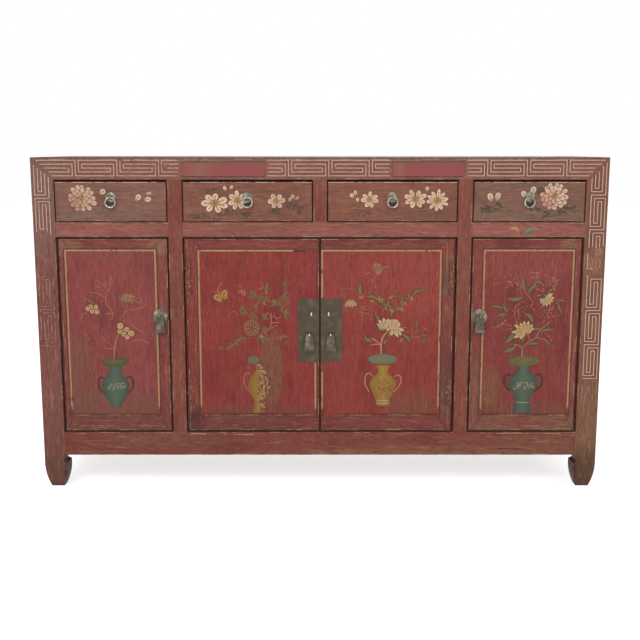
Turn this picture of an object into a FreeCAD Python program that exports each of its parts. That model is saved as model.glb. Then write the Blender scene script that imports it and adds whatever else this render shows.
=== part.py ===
import FreeCAD, Part

import math
import os

# A painted sideboard in the flush-faced northern manner: four square posts with hoofed feet,
# a top frame joined to them by three-way mitres, four drawers over four doors that turn on
# wooden pivots, and brass fittings held by split pins.
# X runs to the right, Y to the rear and Z up. The origin is on the ground under the middle.
# All lengths are in millimetres.

Vector = FreeCAD.Vector

# The carcass as a whole.
overall_width = 1580.0
overall_height = 939.0
carcass_depth = 430.0

# Posts and top frame, which share one square section at the corners.
post_width = 62.0
top_rail_height = 62.0

# Levels of the front, from the ground up.
bottom_rail_underside = 97.0
bottom_rail_height = 70.0
mid_rail_height = 43.5
drawer_opening_height = 113.5

# Members of the front, rear and side frames.
rail_depth = 40.0
divider_offset = 399.0
divider_width = 42.0
drawer_divider_width = 40.0

# The hoofed foot, as insets from the post's outer and inner faces.
foot_curve_height = 68.0
foot_middle_height = 30.0
foot_outer_inset = 14.0
foot_outer_middle_inset = 5.0
ankle_height = 27.0
ankle_cut = 9.0
foot_inner_middle_height = 37.0
foot_inner_middle_inset = 1.5
foot_inner_inset = 12.0

# Tenons, with the small gap that each mortise or groove leaves round them.
fit_gap = 0.15
tenon_thickness = 12.0
tenon_shoulder = 11.0
post_tenon_length = 28.0
divider_tenon_length = 17.0
upright_tenon_length = 20.0
bearer_tenon_length = 10.0
bearer_tenon_shoulder = 8.0

# Tenons hidden in the three-way mitre, as shares of the corner's own size.
mitre_tenon_near_share = 0.30
mitre_tenon_far_share = 0.50
long_tenon_top_share = 0.76
long_tenon_bottom_share = 0.92
short_tenon_top_share = 0.55
short_tenon_bottom_share = 0.71

# Top boards, flush with the top frame, and the battens under them.
top_board_thickness = 16.0
top_board_gap = 1.0
top_plank_count = 2
tongue_length = 7.0
tongue_thickness = 6.0
tongue_drop = 6.0
batten_width = 44.0
batten_height = 26.0
dovetail_height = 4.0
dovetail_spread = 3.0

# Panels of the sides and the back.
panel_thickness = 10.0
panel_recess = 4.0
panel_groove_depth = 8.0

# Floor of the cupboard.
floor_thickness = 10.0
floor_gap = 1.0
floor_plank_count = 2
bearer_width = 40.0
bearer_height = 34.0

# Drawer runners, with a guide between neighbours and a stop at the rear.
runner_ledge = 14.0
runner_thickness = 14.0
runner_tenon_width = 24.0
runner_tenon_shoulder = 3.0
guide_height = 22.0
end_guide_width = 12.0
seat_gap = 0.3

# Drawers, which end a little short of the rear rail.
drawer_rear_room = 30.0
drawer_front_thickness = 18.0
drawer_side_gap = 1.5
drawer_top_gap = 4.5
drawer_bottom_gap = 1.0
drawer_side_thickness = 11.0
drawer_side_height = 88.0
drawer_back_thickness = 11.0
drawer_back_drop = 6.0
drawer_housing_depth = 4.0
drawer_bottom_thickness = 7.0
drawer_bottom_lift = 8.0
drawer_groove_depth = 5.0
tail_count = 2
tail_length = 12.0
tail_root_width = 19.0
tail_tip_width = 26.0

# Doors and their wooden pivots.
door_thickness = 24.0
door_edge_gap = 1.5
door_meeting_gap = 2.0
pivot_inset = 15.0
pivot_setback = 10.0
pivot_edge_gap = 1.0
pivot_radius = 5.0
pivot_clearance = 0.05
pivot_root = 6.0
pivot_bottom_length = 10.0
pivot_top_length = 14.0
pivot_lift_room = 12.0
door_top_rail_width = 35.0
door_bottom_rail_width = 48.0
side_door_hinge_stile = 24.0
side_door_free_stile = 34.0
centre_door_hinge_stile = 42.0
centre_door_meeting_stile = 36.0
door_mitre_depth = 4.5
door_tenon_length = 9.0
door_tenon_height = 7.0
door_tenon_shoulder = 2.0
door_tenon_setback = 11.0
door_tenon_thickness = 6.0
door_panel_thickness = 12.0
door_panel_gap = 2.0
door_tongue_length = 6.0
door_tongue_setback = 4.0
door_tongue_thickness = 5.0
door_batten_width = 32.0
door_batten_thickness = 9.0
door_batten_tenon_length = 5.0
door_batten_tenon_shoulder = 2.0
door_batten_places_share = (0.20, 0.80)

# Split pins: a brass strip bent to an eye, with two legs through the wood.
strip_thickness = 1.2
strip_width = 3.5
strip_slit = 0.3
eye_radius = 2.9
eye_stand = 8.5
eye_sides = 10
leg_spread = 9.0

# Padlock staples, the larger eyes of the two middle doors.
staple_eye_radius = 4.6
staple_stand = 10.0
staple_width = 4.0
staple_offset = 24.0
staple_level = 508.0

# Ring pulls of the drawers. Small round metal is forged to flats, as many as the names say.
ring_radius = 13.5
ring_sides = 18
ring_wire_radius = 2.2
ring_wire_sides = 6
plate_sides = 24
pull_plate_radius = 14.3
pull_plate_rim = 1.0
pull_plate_height = 2.6
pull_plate_crown_radius = 6.0
pull_rise = 12.0

# Plates and pendants of the doors.
plate_thickness = 1.6
round_plate_radius = 21.0
round_plate_rim = 0.8
round_plate_crown_radius = 19.0
side_pull_inset = 27.0
side_pull_level = 499.5
lock_plate_width = 60.0
lock_plate_height = 180.0
lock_plate_inset = 2.5
lock_plate_level = 459.5
lock_plate_corner = 7.0
centre_pull_offset = 30.0
centre_pull_level = 448.0
pendant_drop = 46.0
pendant_head = 2.0
pendant_top_width = 19.0
pendant_bottom_width = 30.0
pendant_thickness = 2.4
pendant_hole_drop = 3.5
pendant_hole_radius = 2.35

# How far a cutting tool runs past the face that it leaves.
overrun = 1.0

# Levels and planes that follow from the sizes above.
drawer_top = overall_height - top_rail_height
drawer_bottom = drawer_top - drawer_opening_height
door_top = drawer_bottom - mid_rail_height
door_bottom = bottom_rail_underside + bottom_rail_height
staple_reach = staple_stand + staple_eye_radius + strip_thickness
drawer_length = carcass_depth - rail_depth - drawer_rear_room
front_plane = (staple_reach - carcass_depth) / 2
rear_plane = front_plane + carcass_depth
post_inner = overall_width / 2 - post_width
divider_outer = divider_offset + divider_width / 2
divider_inner = divider_offset - divider_width / 2
tenon_setback = (rail_depth - tenon_thickness) / 2

LEFT, RIGHT = -1, 1
FRONT, REAR = -1, 1
ACROSS = Vector(1, 0, 0)
INWARD = Vector(0, 1, 0)
UP = Vector(0, 0, 1)


def x_at(side, inset):
    """X at a distance inside the left or right face of the carcass."""
    return side * (overall_width / 2 - inset)


def y_at(end, inset):
    """Y at a distance inside the front or rear face of the carcass."""
    face = front_plane if end == FRONT else rear_plane
    return face - end * inset


def block(xa, xb, ya, yb, za, zb):
    """A rectangular solid between two values on each axis, given in either order."""
    low = Vector(min(xa, xb), min(ya, yb), min(za, zb))
    high = Vector(max(xa, xb), max(ya, yb), max(za, zb))
    size = high - low
    return Part.makeBox(size.x, size.y, size.z, low)


def grown(shape, gap):
    """The box round a shape, larger by a gap on every side."""
    bounds = shape.BoundBox
    return block(bounds.XMin - gap, bounds.XMax + gap,
                 bounds.YMin - gap, bounds.YMax + gap,
                 bounds.ZMin - gap, bounds.ZMax + gap)


def prism(points, direction):
    """A solid drawn out from a flat outline of straight sides."""
    return polygon_face(points).extrude(direction)


def flats(centre, radius, sides, first, second):
    """The corners of a regular outline whose flats touch a circle, in the plane of two directions."""
    corner_radius = radius / math.cos(math.pi / sides)
    corners = []
    for index in range(sides):
        angle = (index + 0.5) * 2 * math.pi / sides
        corners.append(centre + first * (corner_radius * math.cos(angle))
                       + second * (corner_radius * math.sin(angle)))
    return corners


def closed_solid(faces):
    """The solid inside a closed set of faces."""
    solid = Part.makeSolid(Part.makeShell(faces))
    if solid.Volume < 0:
        solid.reverse()
    return solid


def polygon_face(corners):
    """A flat face on its corners."""
    return Part.Face(Part.makePolygon(corners + corners[:1]))


def pyramid(base, apex):
    """A solid pyramid on the corners of a flat base."""
    sides = [polygon_face([first, second, apex]) for first, second in zip(base, base[1:] + base[:1])]
    return closed_solid([polygon_face(base)] + sides)


def band(low, high):
    """The flat faces between two outlines of as many corners."""
    return [polygon_face([low[index - 1], low[index], high[index], high[index - 1]])
            for index in range(len(low))]


class Piece:
    """One solid of the object, with the parts of it that enter its neighbours.

    Tenons and tongues are plain blocks, and their mortises are larger by the fit gap.
    Tails are dovetails and dowels, whose sockets have their own exact shape.
    """

    def __init__(self, node, body, tenons=(), tails=()):
        self.node = node
        self.tenons = list(tenons)
        self.tails = list(tails)
        added = [shape for shape in self.tenons + self.tails if shape is not body]
        self.solid = body.fuse(added).removeSplitter() if added else body

    def sockets(self):
        return [grown(tenon, fit_gap) for tenon in self.tenons] + self.tails


def seat(pieces):
    """Cut in each piece the mortises, grooves and sockets that its neighbours enter."""
    bodies = [piece.solid for piece in pieces]
    for index, piece in enumerate(pieces):
        cutters = []
        for guest in pieces:
            if guest is piece:
                continue
            cutters += [cutter for cutter in guest.sockets()
                        if cutter.BoundBox.intersect(bodies[index].BoundBox)]
        if cutters:
            piece.solid = bodies[index].cut(cutters)
    return pieces


def leg_outline(place):
    """A post's outline with its hoofed foot, placed by inset from the outer face and height."""
    shoulder = overall_height - top_rail_height
    ankle_top = bottom_rail_underside
    ankle_bottom = ankle_top - ankle_height
    ankle_middle = ankle_top - ankle_height / 2
    toe = place(foot_outer_inset, 0)
    foot_top = place(0, foot_curve_height)
    heel = place(post_width - foot_inner_inset, 0)
    hoof_top = place(post_width, ankle_bottom)
    ankle = place(post_width, ankle_top)
    edges = [
        Part.Arc(toe, place(foot_outer_middle_inset, foot_middle_height), foot_top),
        Part.LineSegment(foot_top, place(0, shoulder)),
        Part.LineSegment(place(0, shoulder), place(post_width, shoulder)),
        Part.LineSegment(place(post_width, shoulder), ankle),
        Part.Arc(ankle, place(post_width - ankle_cut, ankle_middle), hoof_top),
        Part.Arc(hoof_top, place(post_width - foot_inner_middle_inset, foot_inner_middle_height), heel),
        Part.LineSegment(heel, toe),
    ]
    return Part.Face(Part.Wire([edge.toShape() for edge in edges]))


def corner_point(side, end, x_inset, y_inset, drop):
    """A point of a corner, by insets from its outer faces and its drop from the top."""
    return Vector(x_at(side, x_inset), y_at(end, y_inset), overall_height - drop)


def post(node, side, end):
    """A square post on its hoofed foot, with its third of the three-way mitre on top."""
    def across(inset, height):
        return Vector(x_at(side, inset), y_at(end, 0), height)

    def along(inset, height):
        return Vector(x_at(side, 0), y_at(end, inset), height)

    front_view = leg_outline(across).extrude(INWARD * (-end * post_width))
    side_view = leg_outline(along).extrude(ACROSS * (-side * post_width))
    base = [corner_point(side, end, u, v, top_rail_height)
            for u, v in ((0, 0), (post_width, 0), (post_width, post_width), (0, post_width))]
    mitre = pyramid(base, corner_point(side, end, 0, 0, 0))
    return Piece(node, front_view.common(side_view).fuse(mitre).removeSplitter())


def top_long_rail(node, end):
    """The front or rear member of the top frame, with a mitre and a hidden tenon at each end."""
    body = block(-post_inner, post_inner, y_at(end, 0), y_at(end, post_width), drawer_top, overall_height)
    tenons = []
    for side in (LEFT, RIGHT):
        base = [corner_point(side, end, post_width, v, drop)
                for v, drop in ((0, 0), (post_width, 0),
                                (post_width, top_rail_height), (0, top_rail_height))]
        body = body.fuse(pyramid(base, corner_point(side, end, 0, 0, 0)))
        tenons.append(block(x_at(side, post_width), x_at(side, post_width * mitre_tenon_near_share),
                            y_at(end, post_width * mitre_tenon_near_share),
                            y_at(end, post_width * mitre_tenon_far_share),
                            overall_height - top_rail_height * long_tenon_top_share,
                            overall_height - top_rail_height * long_tenon_bottom_share))
    return Piece(node, body.removeSplitter(), tenons)


def top_side_rail(node, side):
    """A side member of the top frame, with a mitre and a hidden tenon at each end."""
    body = block(x_at(side, 0), x_at(side, post_width), y_at(FRONT, post_width), y_at(REAR, post_width),
                 drawer_top, overall_height)
    tenons = []
    for end in (FRONT, REAR):
        base = [corner_point(side, end, u, post_width, drop)
                for u, drop in ((0, 0), (post_width, 0),
                                (post_width, top_rail_height), (0, top_rail_height))]
        body = body.fuse(pyramid(base, corner_point(side, end, 0, 0, 0)))
        tenons.append(block(x_at(side, post_width * mitre_tenon_near_share),
                            x_at(side, post_width * mitre_tenon_far_share),
                            y_at(end, post_width), y_at(end, post_width * mitre_tenon_near_share),
                            overall_height - top_rail_height * short_tenon_top_share,
                            overall_height - top_rail_height * short_tenon_bottom_share))
    return Piece(node, body.removeSplitter(), tenons)


def frame_rail(node, end, left, right, bottom, top, reach):
    """A rail of the front or rear frame, with a tenon of the given reach at each end."""
    body = block(left, right, y_at(end, 0), y_at(end, rail_depth), bottom, top)
    tenons = [block(edge, edge + side * reach,
                    y_at(end, tenon_setback), y_at(end, tenon_setback + tenon_thickness),
                    bottom + tenon_shoulder, top - tenon_shoulder)
              for edge, side in ((left, LEFT), (right, RIGHT))]
    return Piece(node, body, tenons)


def upright(node, end, middle, width, bottom, top, reach):
    """An upright of the front or rear frame, tenoned into the members below and above."""
    body = block(middle - width / 2, middle + width / 2, y_at(end, 0), y_at(end, rail_depth), bottom, top)
    half_tenon = width / 2 - tenon_shoulder
    tenons = [block(middle - half_tenon, middle + half_tenon,
                    y_at(end, tenon_setback), y_at(end, tenon_setback + tenon_thickness),
                    level, level + direction * reach)
              for level, direction in ((bottom, -1), (top, 1))]
    return Piece(node, body, tenons)


def side_rail(node, side, bottom, top):
    """A rail of a side frame, tenoned into the front and rear posts."""
    body = block(x_at(side, 0), x_at(side, rail_depth),
                 y_at(FRONT, post_width), y_at(REAR, post_width), bottom, top)
    tenons = [block(x_at(side, tenon_setback), x_at(side, tenon_setback + tenon_thickness),
                    y_at(end, post_width), y_at(end, post_width - post_tenon_length),
                    bottom + tenon_shoulder, top - tenon_shoulder)
              for end in (FRONT, REAR)]
    return Piece(node, body, tenons)


def side_panel(node, side, bottom, top):
    """A floating board in the grooves of a side frame."""
    body = block(x_at(side, panel_recess), x_at(side, panel_recess + panel_thickness),
                 y_at(FRONT, post_width - panel_groove_depth),
                 y_at(REAR, post_width - panel_groove_depth),
                 bottom - panel_groove_depth, top + panel_groove_depth)
    return Piece(node, body, [body])


def back_panel(node, left, right, bottom, top):
    """A floating board in the grooves of the rear frame."""
    body = block(left - panel_groove_depth, right + panel_groove_depth,
                 y_at(REAR, panel_recess), y_at(REAR, panel_recess + panel_thickness),
                 bottom - panel_groove_depth, top + panel_groove_depth)
    return Piece(node, body, [body])


def planks(node, board, tongues, count):
    """A board divided along its length into planks that lie edge to edge."""
    bounds = board.BoundBox
    width = bounds.YLength / count
    pieces = []
    for index in range(count):
        low = bounds.YMin + index * width
        slice_of_board = block(bounds.XMin, bounds.XMax, low, low + width, bounds.ZMin, bounds.ZMax)
        pieces.append(Piece(node, board.common(slice_of_board),
                            tails=[tongue.common(slice_of_board) for tongue in tongues
                                   if tongue.BoundBox.intersect(slice_of_board.BoundBox)]))
    return pieces


def top_boards(node):
    """The flush top panel, tongued into the top frame."""
    field = block(-post_inner + top_board_gap, post_inner - top_board_gap,
                  y_at(FRONT, post_width + top_board_gap), y_at(REAR, post_width + top_board_gap),
                  overall_height - top_board_thickness, overall_height)
    tongue = block(-post_inner - tongue_length, post_inner + tongue_length,
                   y_at(FRONT, post_width - tongue_length), y_at(REAR, post_width - tongue_length),
                   overall_height - tongue_drop - tongue_thickness, overall_height - tongue_drop)
    board = field.fuse(tongue).removeSplitter()
    groove = grown(tongue, fit_gap)
    return planks(node, board, [], top_plank_count), groove


def top_batten(node, middle):
    """A cross batten that is dovetailed under the top boards and tenoned into the rails."""
    crown = overall_height - top_board_thickness
    half = batten_width / 2
    front = y_at(FRONT, post_width)
    length = y_at(REAR, post_width) - front
    neck = half - 2 * dovetail_spread
    tip = half - dovetail_spread
    tail = prism([Vector(middle - neck, front, crown),
                  Vector(middle + neck, front, crown),
                  Vector(middle + tip, front, crown + dovetail_height),
                  Vector(middle - tip, front, crown + dovetail_height)], INWARD * length)
    body = block(middle - half, middle + half, front, front + length, crown - batten_height, crown)
    tenons = [block(middle - half + bearer_tenon_shoulder, middle + half - bearer_tenon_shoulder,
                    y_at(end, post_width), y_at(end, post_width - bearer_tenon_length),
                    crown - bearer_tenon_shoulder, crown - batten_height + bearer_tenon_shoulder)
              for end in (FRONT, REAR)]
    return Piece(node, body, tenons, [tail])


def floor_bearer(node, middle):
    """A bearer under the cupboard floor, tenoned into the front and rear bottom rails."""
    half = bearer_width / 2
    body = block(middle - half, middle + half, y_at(FRONT, rail_depth), y_at(REAR, rail_depth),
                 door_bottom - bearer_height, door_bottom)
    tenons = [block(middle - half + bearer_tenon_shoulder, middle + half - bearer_tenon_shoulder,
                    y_at(end, rail_depth), y_at(end, rail_depth - bearer_tenon_length),
                    door_bottom - bearer_tenon_shoulder,
                    door_bottom - bearer_height + bearer_tenon_shoulder)
              for end in (FRONT, REAR)]
    return Piece(node, body, tenons)


def floor_boards(node):
    """The cupboard floor, laid on the bottom rails and notched round the posts and uprights.

    Its front edge stands above the front rail, and stops the doors.
    """
    side_inset = panel_recess + panel_thickness + floor_gap
    board = block(x_at(LEFT, side_inset), x_at(RIGHT, side_inset),
                  y_at(FRONT, door_thickness + seat_gap), y_at(REAR, side_inset),
                  door_bottom, door_bottom + floor_thickness)
    notches = []
    for end in (FRONT, REAR):
        for side in (LEFT, RIGHT):
            corner = block(x_at(side, 0), x_at(side, post_width), y_at(end, 0), y_at(end, post_width),
                           door_bottom, drawer_top)
            stile = block(side * divider_inner, side * divider_outer, y_at(end, 0), y_at(end, rail_depth),
                          door_bottom, drawer_top)
            notches += [grown(corner, floor_gap), grown(stile, floor_gap)]
    return planks(node, board.cut(notches), [], floor_plank_count)


def runner_tenons(left, right):
    """The stub tenons of a runner, at its front and rear ends."""
    return [block(left, right, y_at(end, rail_depth), y_at(end, rail_depth - bearer_tenon_length),
                  drawer_bottom - runner_tenon_shoulder,
                  drawer_bottom - runner_thickness + runner_tenon_shoulder)
            for end in (FRONT, REAR)]


def middle_runner(node, middle, guide_width):
    """A runner shared by two drawers, with a guide between them and a stop behind each."""
    front = y_at(FRONT, rail_depth)
    length = y_at(REAR, rail_depth) - front
    half = guide_width / 2
    wide = half + runner_ledge
    low = drawer_bottom - runner_thickness
    high = drawer_bottom + guide_height
    section = [Vector(middle - wide, front, low), Vector(middle + wide, front, low),
               Vector(middle + wide, front, drawer_bottom), Vector(middle + half, front, drawer_bottom),
               Vector(middle + half, front, high), Vector(middle - half, front, high),
               Vector(middle - half, front, drawer_bottom), Vector(middle - wide, front, drawer_bottom)]
    stop = block(middle - wide, middle + wide, y_at(FRONT, drawer_length + seat_gap),
                 y_at(REAR, rail_depth), drawer_bottom, high)
    body = prism(section, INWARD * length).fuse(stop).removeSplitter()
    half_tenon = runner_tenon_width / 2
    return Piece(node, body, runner_tenons(middle - half_tenon, middle + half_tenon))


def end_runner(node, side):
    """A runner beside a post, whose guide strip fills the space between the posts."""
    front = y_at(FRONT, rail_depth)
    length = y_at(REAR, rail_depth) - front
    ledge_edge = x_at(side, post_width + runner_ledge)
    inner = x_at(side, post_width)
    outer = x_at(side, post_width - end_guide_width)
    low = drawer_bottom - runner_thickness
    high = drawer_bottom + guide_height
    section = [Vector(ledge_edge, front, low), Vector(outer, front, low), Vector(outer, front, high),
               Vector(inner, front, high), Vector(inner, front, drawer_bottom),
               Vector(ledge_edge, front, drawer_bottom)]
    stop = block(ledge_edge, inner, y_at(FRONT, drawer_length + seat_gap), y_at(REAR, rail_depth),
                 drawer_bottom, high)
    corners = [grown(block(x_at(side, 0), x_at(side, post_width), y_at(end, 0), y_at(end, post_width),
                           door_top, drawer_top), fit_gap) for end in (FRONT, REAR)]
    body = prism(section, INWARD * length).fuse(stop).cut(corners).removeSplitter()
    return Piece(node, body, runner_tenons(ledge_edge + side * runner_tenon_shoulder,
                                           inner - side * runner_tenon_shoulder))


def pivot_place(hinge_edge, direction):
    """The axis of a door's wooden pivots."""
    return hinge_edge + direction * pivot_inset, y_at(FRONT, pivot_setback)


def dowel(place, radius, bottom, top):
    """An upright round pin."""
    return Part.makeCylinder(radius, top - bottom, Vector(place[0], place[1], bottom), UP)


def carcass():
    """Every fixed piece of the body of the sideboard."""
    pieces = []
    for end, end_name in ((FRONT, "front"), (REAR, "rear")):
        for side, side_name in ((LEFT, "left"), (RIGHT, "right")):
            pieces.append(post(end_name + "_" + side_name + "_post", side, end))
        pieces.append(top_long_rail("top_" + end_name + "_rail", end))
        pieces.append(frame_rail("bottom_" + end_name + "_rail", end, -post_inner, post_inner,
                                 bottom_rail_underside, door_bottom, post_tenon_length))
        for side in (LEFT, RIGHT):
            pieces.append(upright(end_name + "_uprights", end, side * divider_offset, divider_width,
                                  door_bottom, drawer_top, upright_tenon_length))
        for left, right in bays():
            pieces.append(frame_rail(end_name + "_mid_rails", end, left, right,
                                     door_top, drawer_bottom, divider_tenon_length))
    pieces.append(upright("drawer_divider", FRONT, 0, drawer_divider_width,
                          drawer_bottom, drawer_top, divider_tenon_length))
    for side in (LEFT, RIGHT):
        pieces.append(top_side_rail("top_side_rails", side))
        pieces.append(side_rail("bottom_side_rails", side, bottom_rail_underside, door_bottom))
        pieces.append(side_rail("side_mid_rails", side, door_top, drawer_bottom))
        pieces.append(side_panel("side_panels", side, door_bottom, door_top))
        pieces.append(side_panel("side_panels", side, drawer_bottom, drawer_top))
        pieces.append(end_runner("drawer_runners", side))
    for left, right in bays():
        pieces.append(back_panel("back_panels", left, right, door_bottom, door_top))
        pieces.append(back_panel("back_panels", left, right, drawer_bottom, drawer_top))
    for middle, guide_width in ((-divider_offset, divider_width), (0, drawer_divider_width),
                                (divider_offset, divider_width)):
        pieces.append(top_batten("top_battens", middle))
        pieces.append(floor_bearer("floor_bearers", middle))
        pieces.append(middle_runner("drawer_runners", middle, guide_width))
    boards, groove = top_boards("top_boards")
    seat(pieces + boards)
    for piece in pieces:
        if piece.node in ("top_front_rail", "top_rear_rail", "top_side_rails"):
            piece.solid = piece.solid.cut(groove)
        if piece.node in ("front_mid_rails", "bottom_front_rail"):
            piece.solid = piece.solid.cut(pivot_sockets())
    return pieces + boards + floor_boards("floor_boards")


def bays():
    """The three openings between the posts and the uprights, as left and right edges."""
    return ((-post_inner, -divider_outer), (-divider_inner, divider_inner), (divider_outer, post_inner))


def drawer_openings():
    """The four drawer openings, as left and right edges."""
    half = drawer_divider_width / 2
    return ((-post_inner, -divider_outer), (-divider_inner, -half),
            (half, divider_inner), (divider_outer, post_inner))


def door_openings():
    """Each door's name, its hinge and free edges, and the widths of its two stiles."""
    meeting = door_meeting_gap / 2
    side_stiles = (side_door_hinge_stile, side_door_free_stile)
    centre_stiles = (centre_door_hinge_stile, centre_door_meeting_stile)
    return (("left_door", -post_inner, -divider_outer - door_edge_gap, side_stiles),
            ("centre_left_door", -divider_inner, -meeting, centre_stiles),
            ("centre_right_door", divider_inner, meeting, centre_stiles),
            ("right_door", post_inner, divider_outer + door_edge_gap, side_stiles))


def pivot_sockets():
    """The holes in the bottom and middle rails that take the doors' pivots."""
    sockets = []
    for name, hinge_edge, free_edge, stiles in door_openings():
        direction = 1 if free_edge > hinge_edge else -1
        place = pivot_place(hinge_edge, direction)
        radius = pivot_radius + pivot_clearance
        sockets.append(dowel(place, radius, door_bottom + door_edge_gap - pivot_bottom_length - seat_gap,
                             door_bottom + overrun))
        sockets.append(dowel(place, radius, door_top - overrun,
                             door_top - door_edge_gap + pivot_top_length + pivot_lift_room))
    return sockets


def split_pin(x, level, board, stand, radius, width):
    """A strip bent to an eye, with its legs through a board and turned back inside."""
    eye_y = front_plane - stand
    inside = front_plane + board
    left = x - width / 2
    right = x + width / 2
    half_legs = strip_thickness + strip_slit / 2
    centre = Vector(left, eye_y, level)
    outer = prism(flats(centre, radius + strip_thickness, eye_sides, INWARD, UP), ACROSS * width)
    inner = prism(flats(centre, radius, eye_sides, INWARD, UP), ACROSS * width)
    legs = block(left, right, eye_y, inside + strip_thickness, level - half_legs, level + half_legs)
    turned = block(left, right, inside, inside + strip_thickness, level - leg_spread, level + leg_spread)
    slit = block(left, right, eye_y, inside + strip_thickness,
                 level - strip_slit / 2, level + strip_slit / 2)
    return outer.fuse([legs, turned]).cut([inner, slit]).removeSplitter()


def pin_hole(x, level, board, stand, width):
    """The slot for a split pin's legs, through a plate and the board behind it."""
    half_legs = strip_thickness + strip_slit / 2
    return grown(block(x - width / 2, x + width / 2, front_plane - stand / 2, front_plane + board + overrun,
                       level - half_legs, level + half_legs), fit_gap)


def round_plate(x, level, radius, rim, height, crown_radius):
    """A round plate whose face rises from its rim to a flat crown."""
    outlines = [flats(Vector(x, front_plane - depth, level), outline_radius, plate_sides, ACROSS, UP)
                for depth, outline_radius in ((0, radius), (rim, radius), (height, crown_radius))]
    return closed_solid([polygon_face(outlines[0]), polygon_face(outlines[-1])]
                        + [face for low, high in zip(outlines, outlines[1:]) for face in band(low, high)])


def lock_plate(side):
    """The tall plate of a middle door, with its outer corners rounded."""
    inner = side * lock_plate_inset
    outer = side * (lock_plate_inset + lock_plate_width)
    plate = block(inner, outer, front_plane - plate_thickness, front_plane,
                  lock_plate_level - lock_plate_height / 2, lock_plate_level + lock_plate_height / 2)
    corners = [edge for edge in plate.Edges
               if edge.BoundBox.YLength > plate_thickness / 2
               and abs(edge.BoundBox.XMin - outer) < overrun]
    return plate.makeFillet(lock_plate_corner, corners)


def pull_ring(x, level):
    """A ring of forged wire that hangs in a split pin's eye."""
    centre = Vector(x, front_plane - eye_stand, level - ring_radius)
    sections = []
    for index in range(ring_sides):
        angle = index * 2 * math.pi / ring_sides
        outward = ACROSS * math.sin(angle) + UP * math.cos(angle)
        sections.append(flats(centre + outward * ring_radius, ring_wire_radius, ring_wire_sides,
                              outward, INWARD))
    return closed_solid([face for index in range(ring_sides)
                         for face in band(sections[index - 1], sections[index])])


def pendant(x, level):
    """A drop that widens downwards, with the hole by which it hangs in a split pin's eye."""
    front = front_plane - eye_stand - pendant_thickness / 2
    top = level + pendant_head
    bottom = level - pendant_drop
    plate = prism([Vector(x - pendant_top_width / 2, front, top),
                   Vector(x + pendant_top_width / 2, front, top),
                   Vector(x + pendant_bottom_width / 2, front, bottom),
                   Vector(x - pendant_bottom_width / 2, front, bottom)], INWARD * pendant_thickness)
    hole = prism(flats(Vector(x, front, level - pendant_hole_drop), pendant_hole_radius, eye_sides,
                       ACROSS, UP), INWARD * pendant_thickness)
    return plate.cut(hole)


def tail_prism(outer, inner, level):
    """One dovetail of a drawer side, widening towards the front."""
    root = y_at(FRONT, drawer_front_thickness)
    tip = root - tail_length
    return prism([Vector(outer, root, level - tail_root_width / 2),
                  Vector(outer, tip, level - tail_tip_width / 2),
                  Vector(outer, tip, level + tail_tip_width / 2),
                  Vector(outer, root, level + tail_root_width / 2)], ACROSS * (inner - outer))


def drawer(name, left, right):
    """A drawer of dovetailed boards, with its ring pull."""
    outer_left = left + drawer_side_gap
    outer_right = right - drawer_side_gap
    front_bottom = drawer_bottom + drawer_bottom_gap
    front_top = drawer_top - drawer_top_gap
    side_bottom = drawer_bottom + seat_gap
    side_top = side_bottom + drawer_side_height
    back_front = y_at(FRONT, drawer_length - drawer_back_thickness)
    rear = y_at(FRONT, drawer_length)
    inside_front = y_at(FRONT, drawer_front_thickness)
    floor_low = side_bottom + drawer_bottom_lift
    floor_high = floor_low + drawer_bottom_thickness
    pieces = [Piece(name + "_front", block(outer_left, outer_right, y_at(FRONT, 0), inside_front,
                                           front_bottom, front_top))]
    for outer, direction in ((outer_left, 1), (outer_right, -1)):
        inner = outer + direction * drawer_side_thickness
        body = block(outer, inner, inside_front, rear, side_bottom, side_top)
        pitch = drawer_side_height / tail_count
        tails = [tail_prism(outer, inner, side_bottom + (index + 0.5) * pitch)
                 for index in range(tail_count)]
        pieces.append(Piece(name + "_box", body, tails=tails))
    inner_left = outer_left + drawer_side_thickness
    inner_right = outer_right - drawer_side_thickness
    back = block(inner_left, inner_right, back_front, rear, floor_high, side_top - drawer_back_drop)
    housings = [block(edge, edge + side * drawer_housing_depth, back_front, rear,
                      floor_high, side_top - drawer_back_drop)
                for edge, side in ((inner_left, LEFT), (inner_right, RIGHT))]
    pieces.append(Piece(name + "_box", back, housings))
    bottom = block(inner_left - drawer_groove_depth, inner_right + drawer_groove_depth,
                   inside_front - drawer_groove_depth, rear, floor_low, floor_high)
    pieces.append(Piece(name + "_bottom", bottom, [bottom]))
    seat(pieces)
    x = (left + right) / 2
    level = (front_bottom + front_top) / 2 + pull_rise
    hole = pin_hole(x, level, drawer_front_thickness, eye_stand, strip_width)
    pieces[0].solid = pieces[0].solid.cut(hole)
    plate = round_plate(x, level, pull_plate_radius, pull_plate_rim, pull_plate_height,
                        pull_plate_crown_radius)
    pin = split_pin(x, level, drawer_front_thickness, eye_stand, eye_radius, strip_width)
    pieces.append(Piece(name + "_pull_plate", plate.cut(hole)))
    pieces.append(Piece(name + "_pull_plate", pin))
    pieces.append(Piece(name + "_ring", pull_ring(x, level)))
    return pieces


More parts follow.
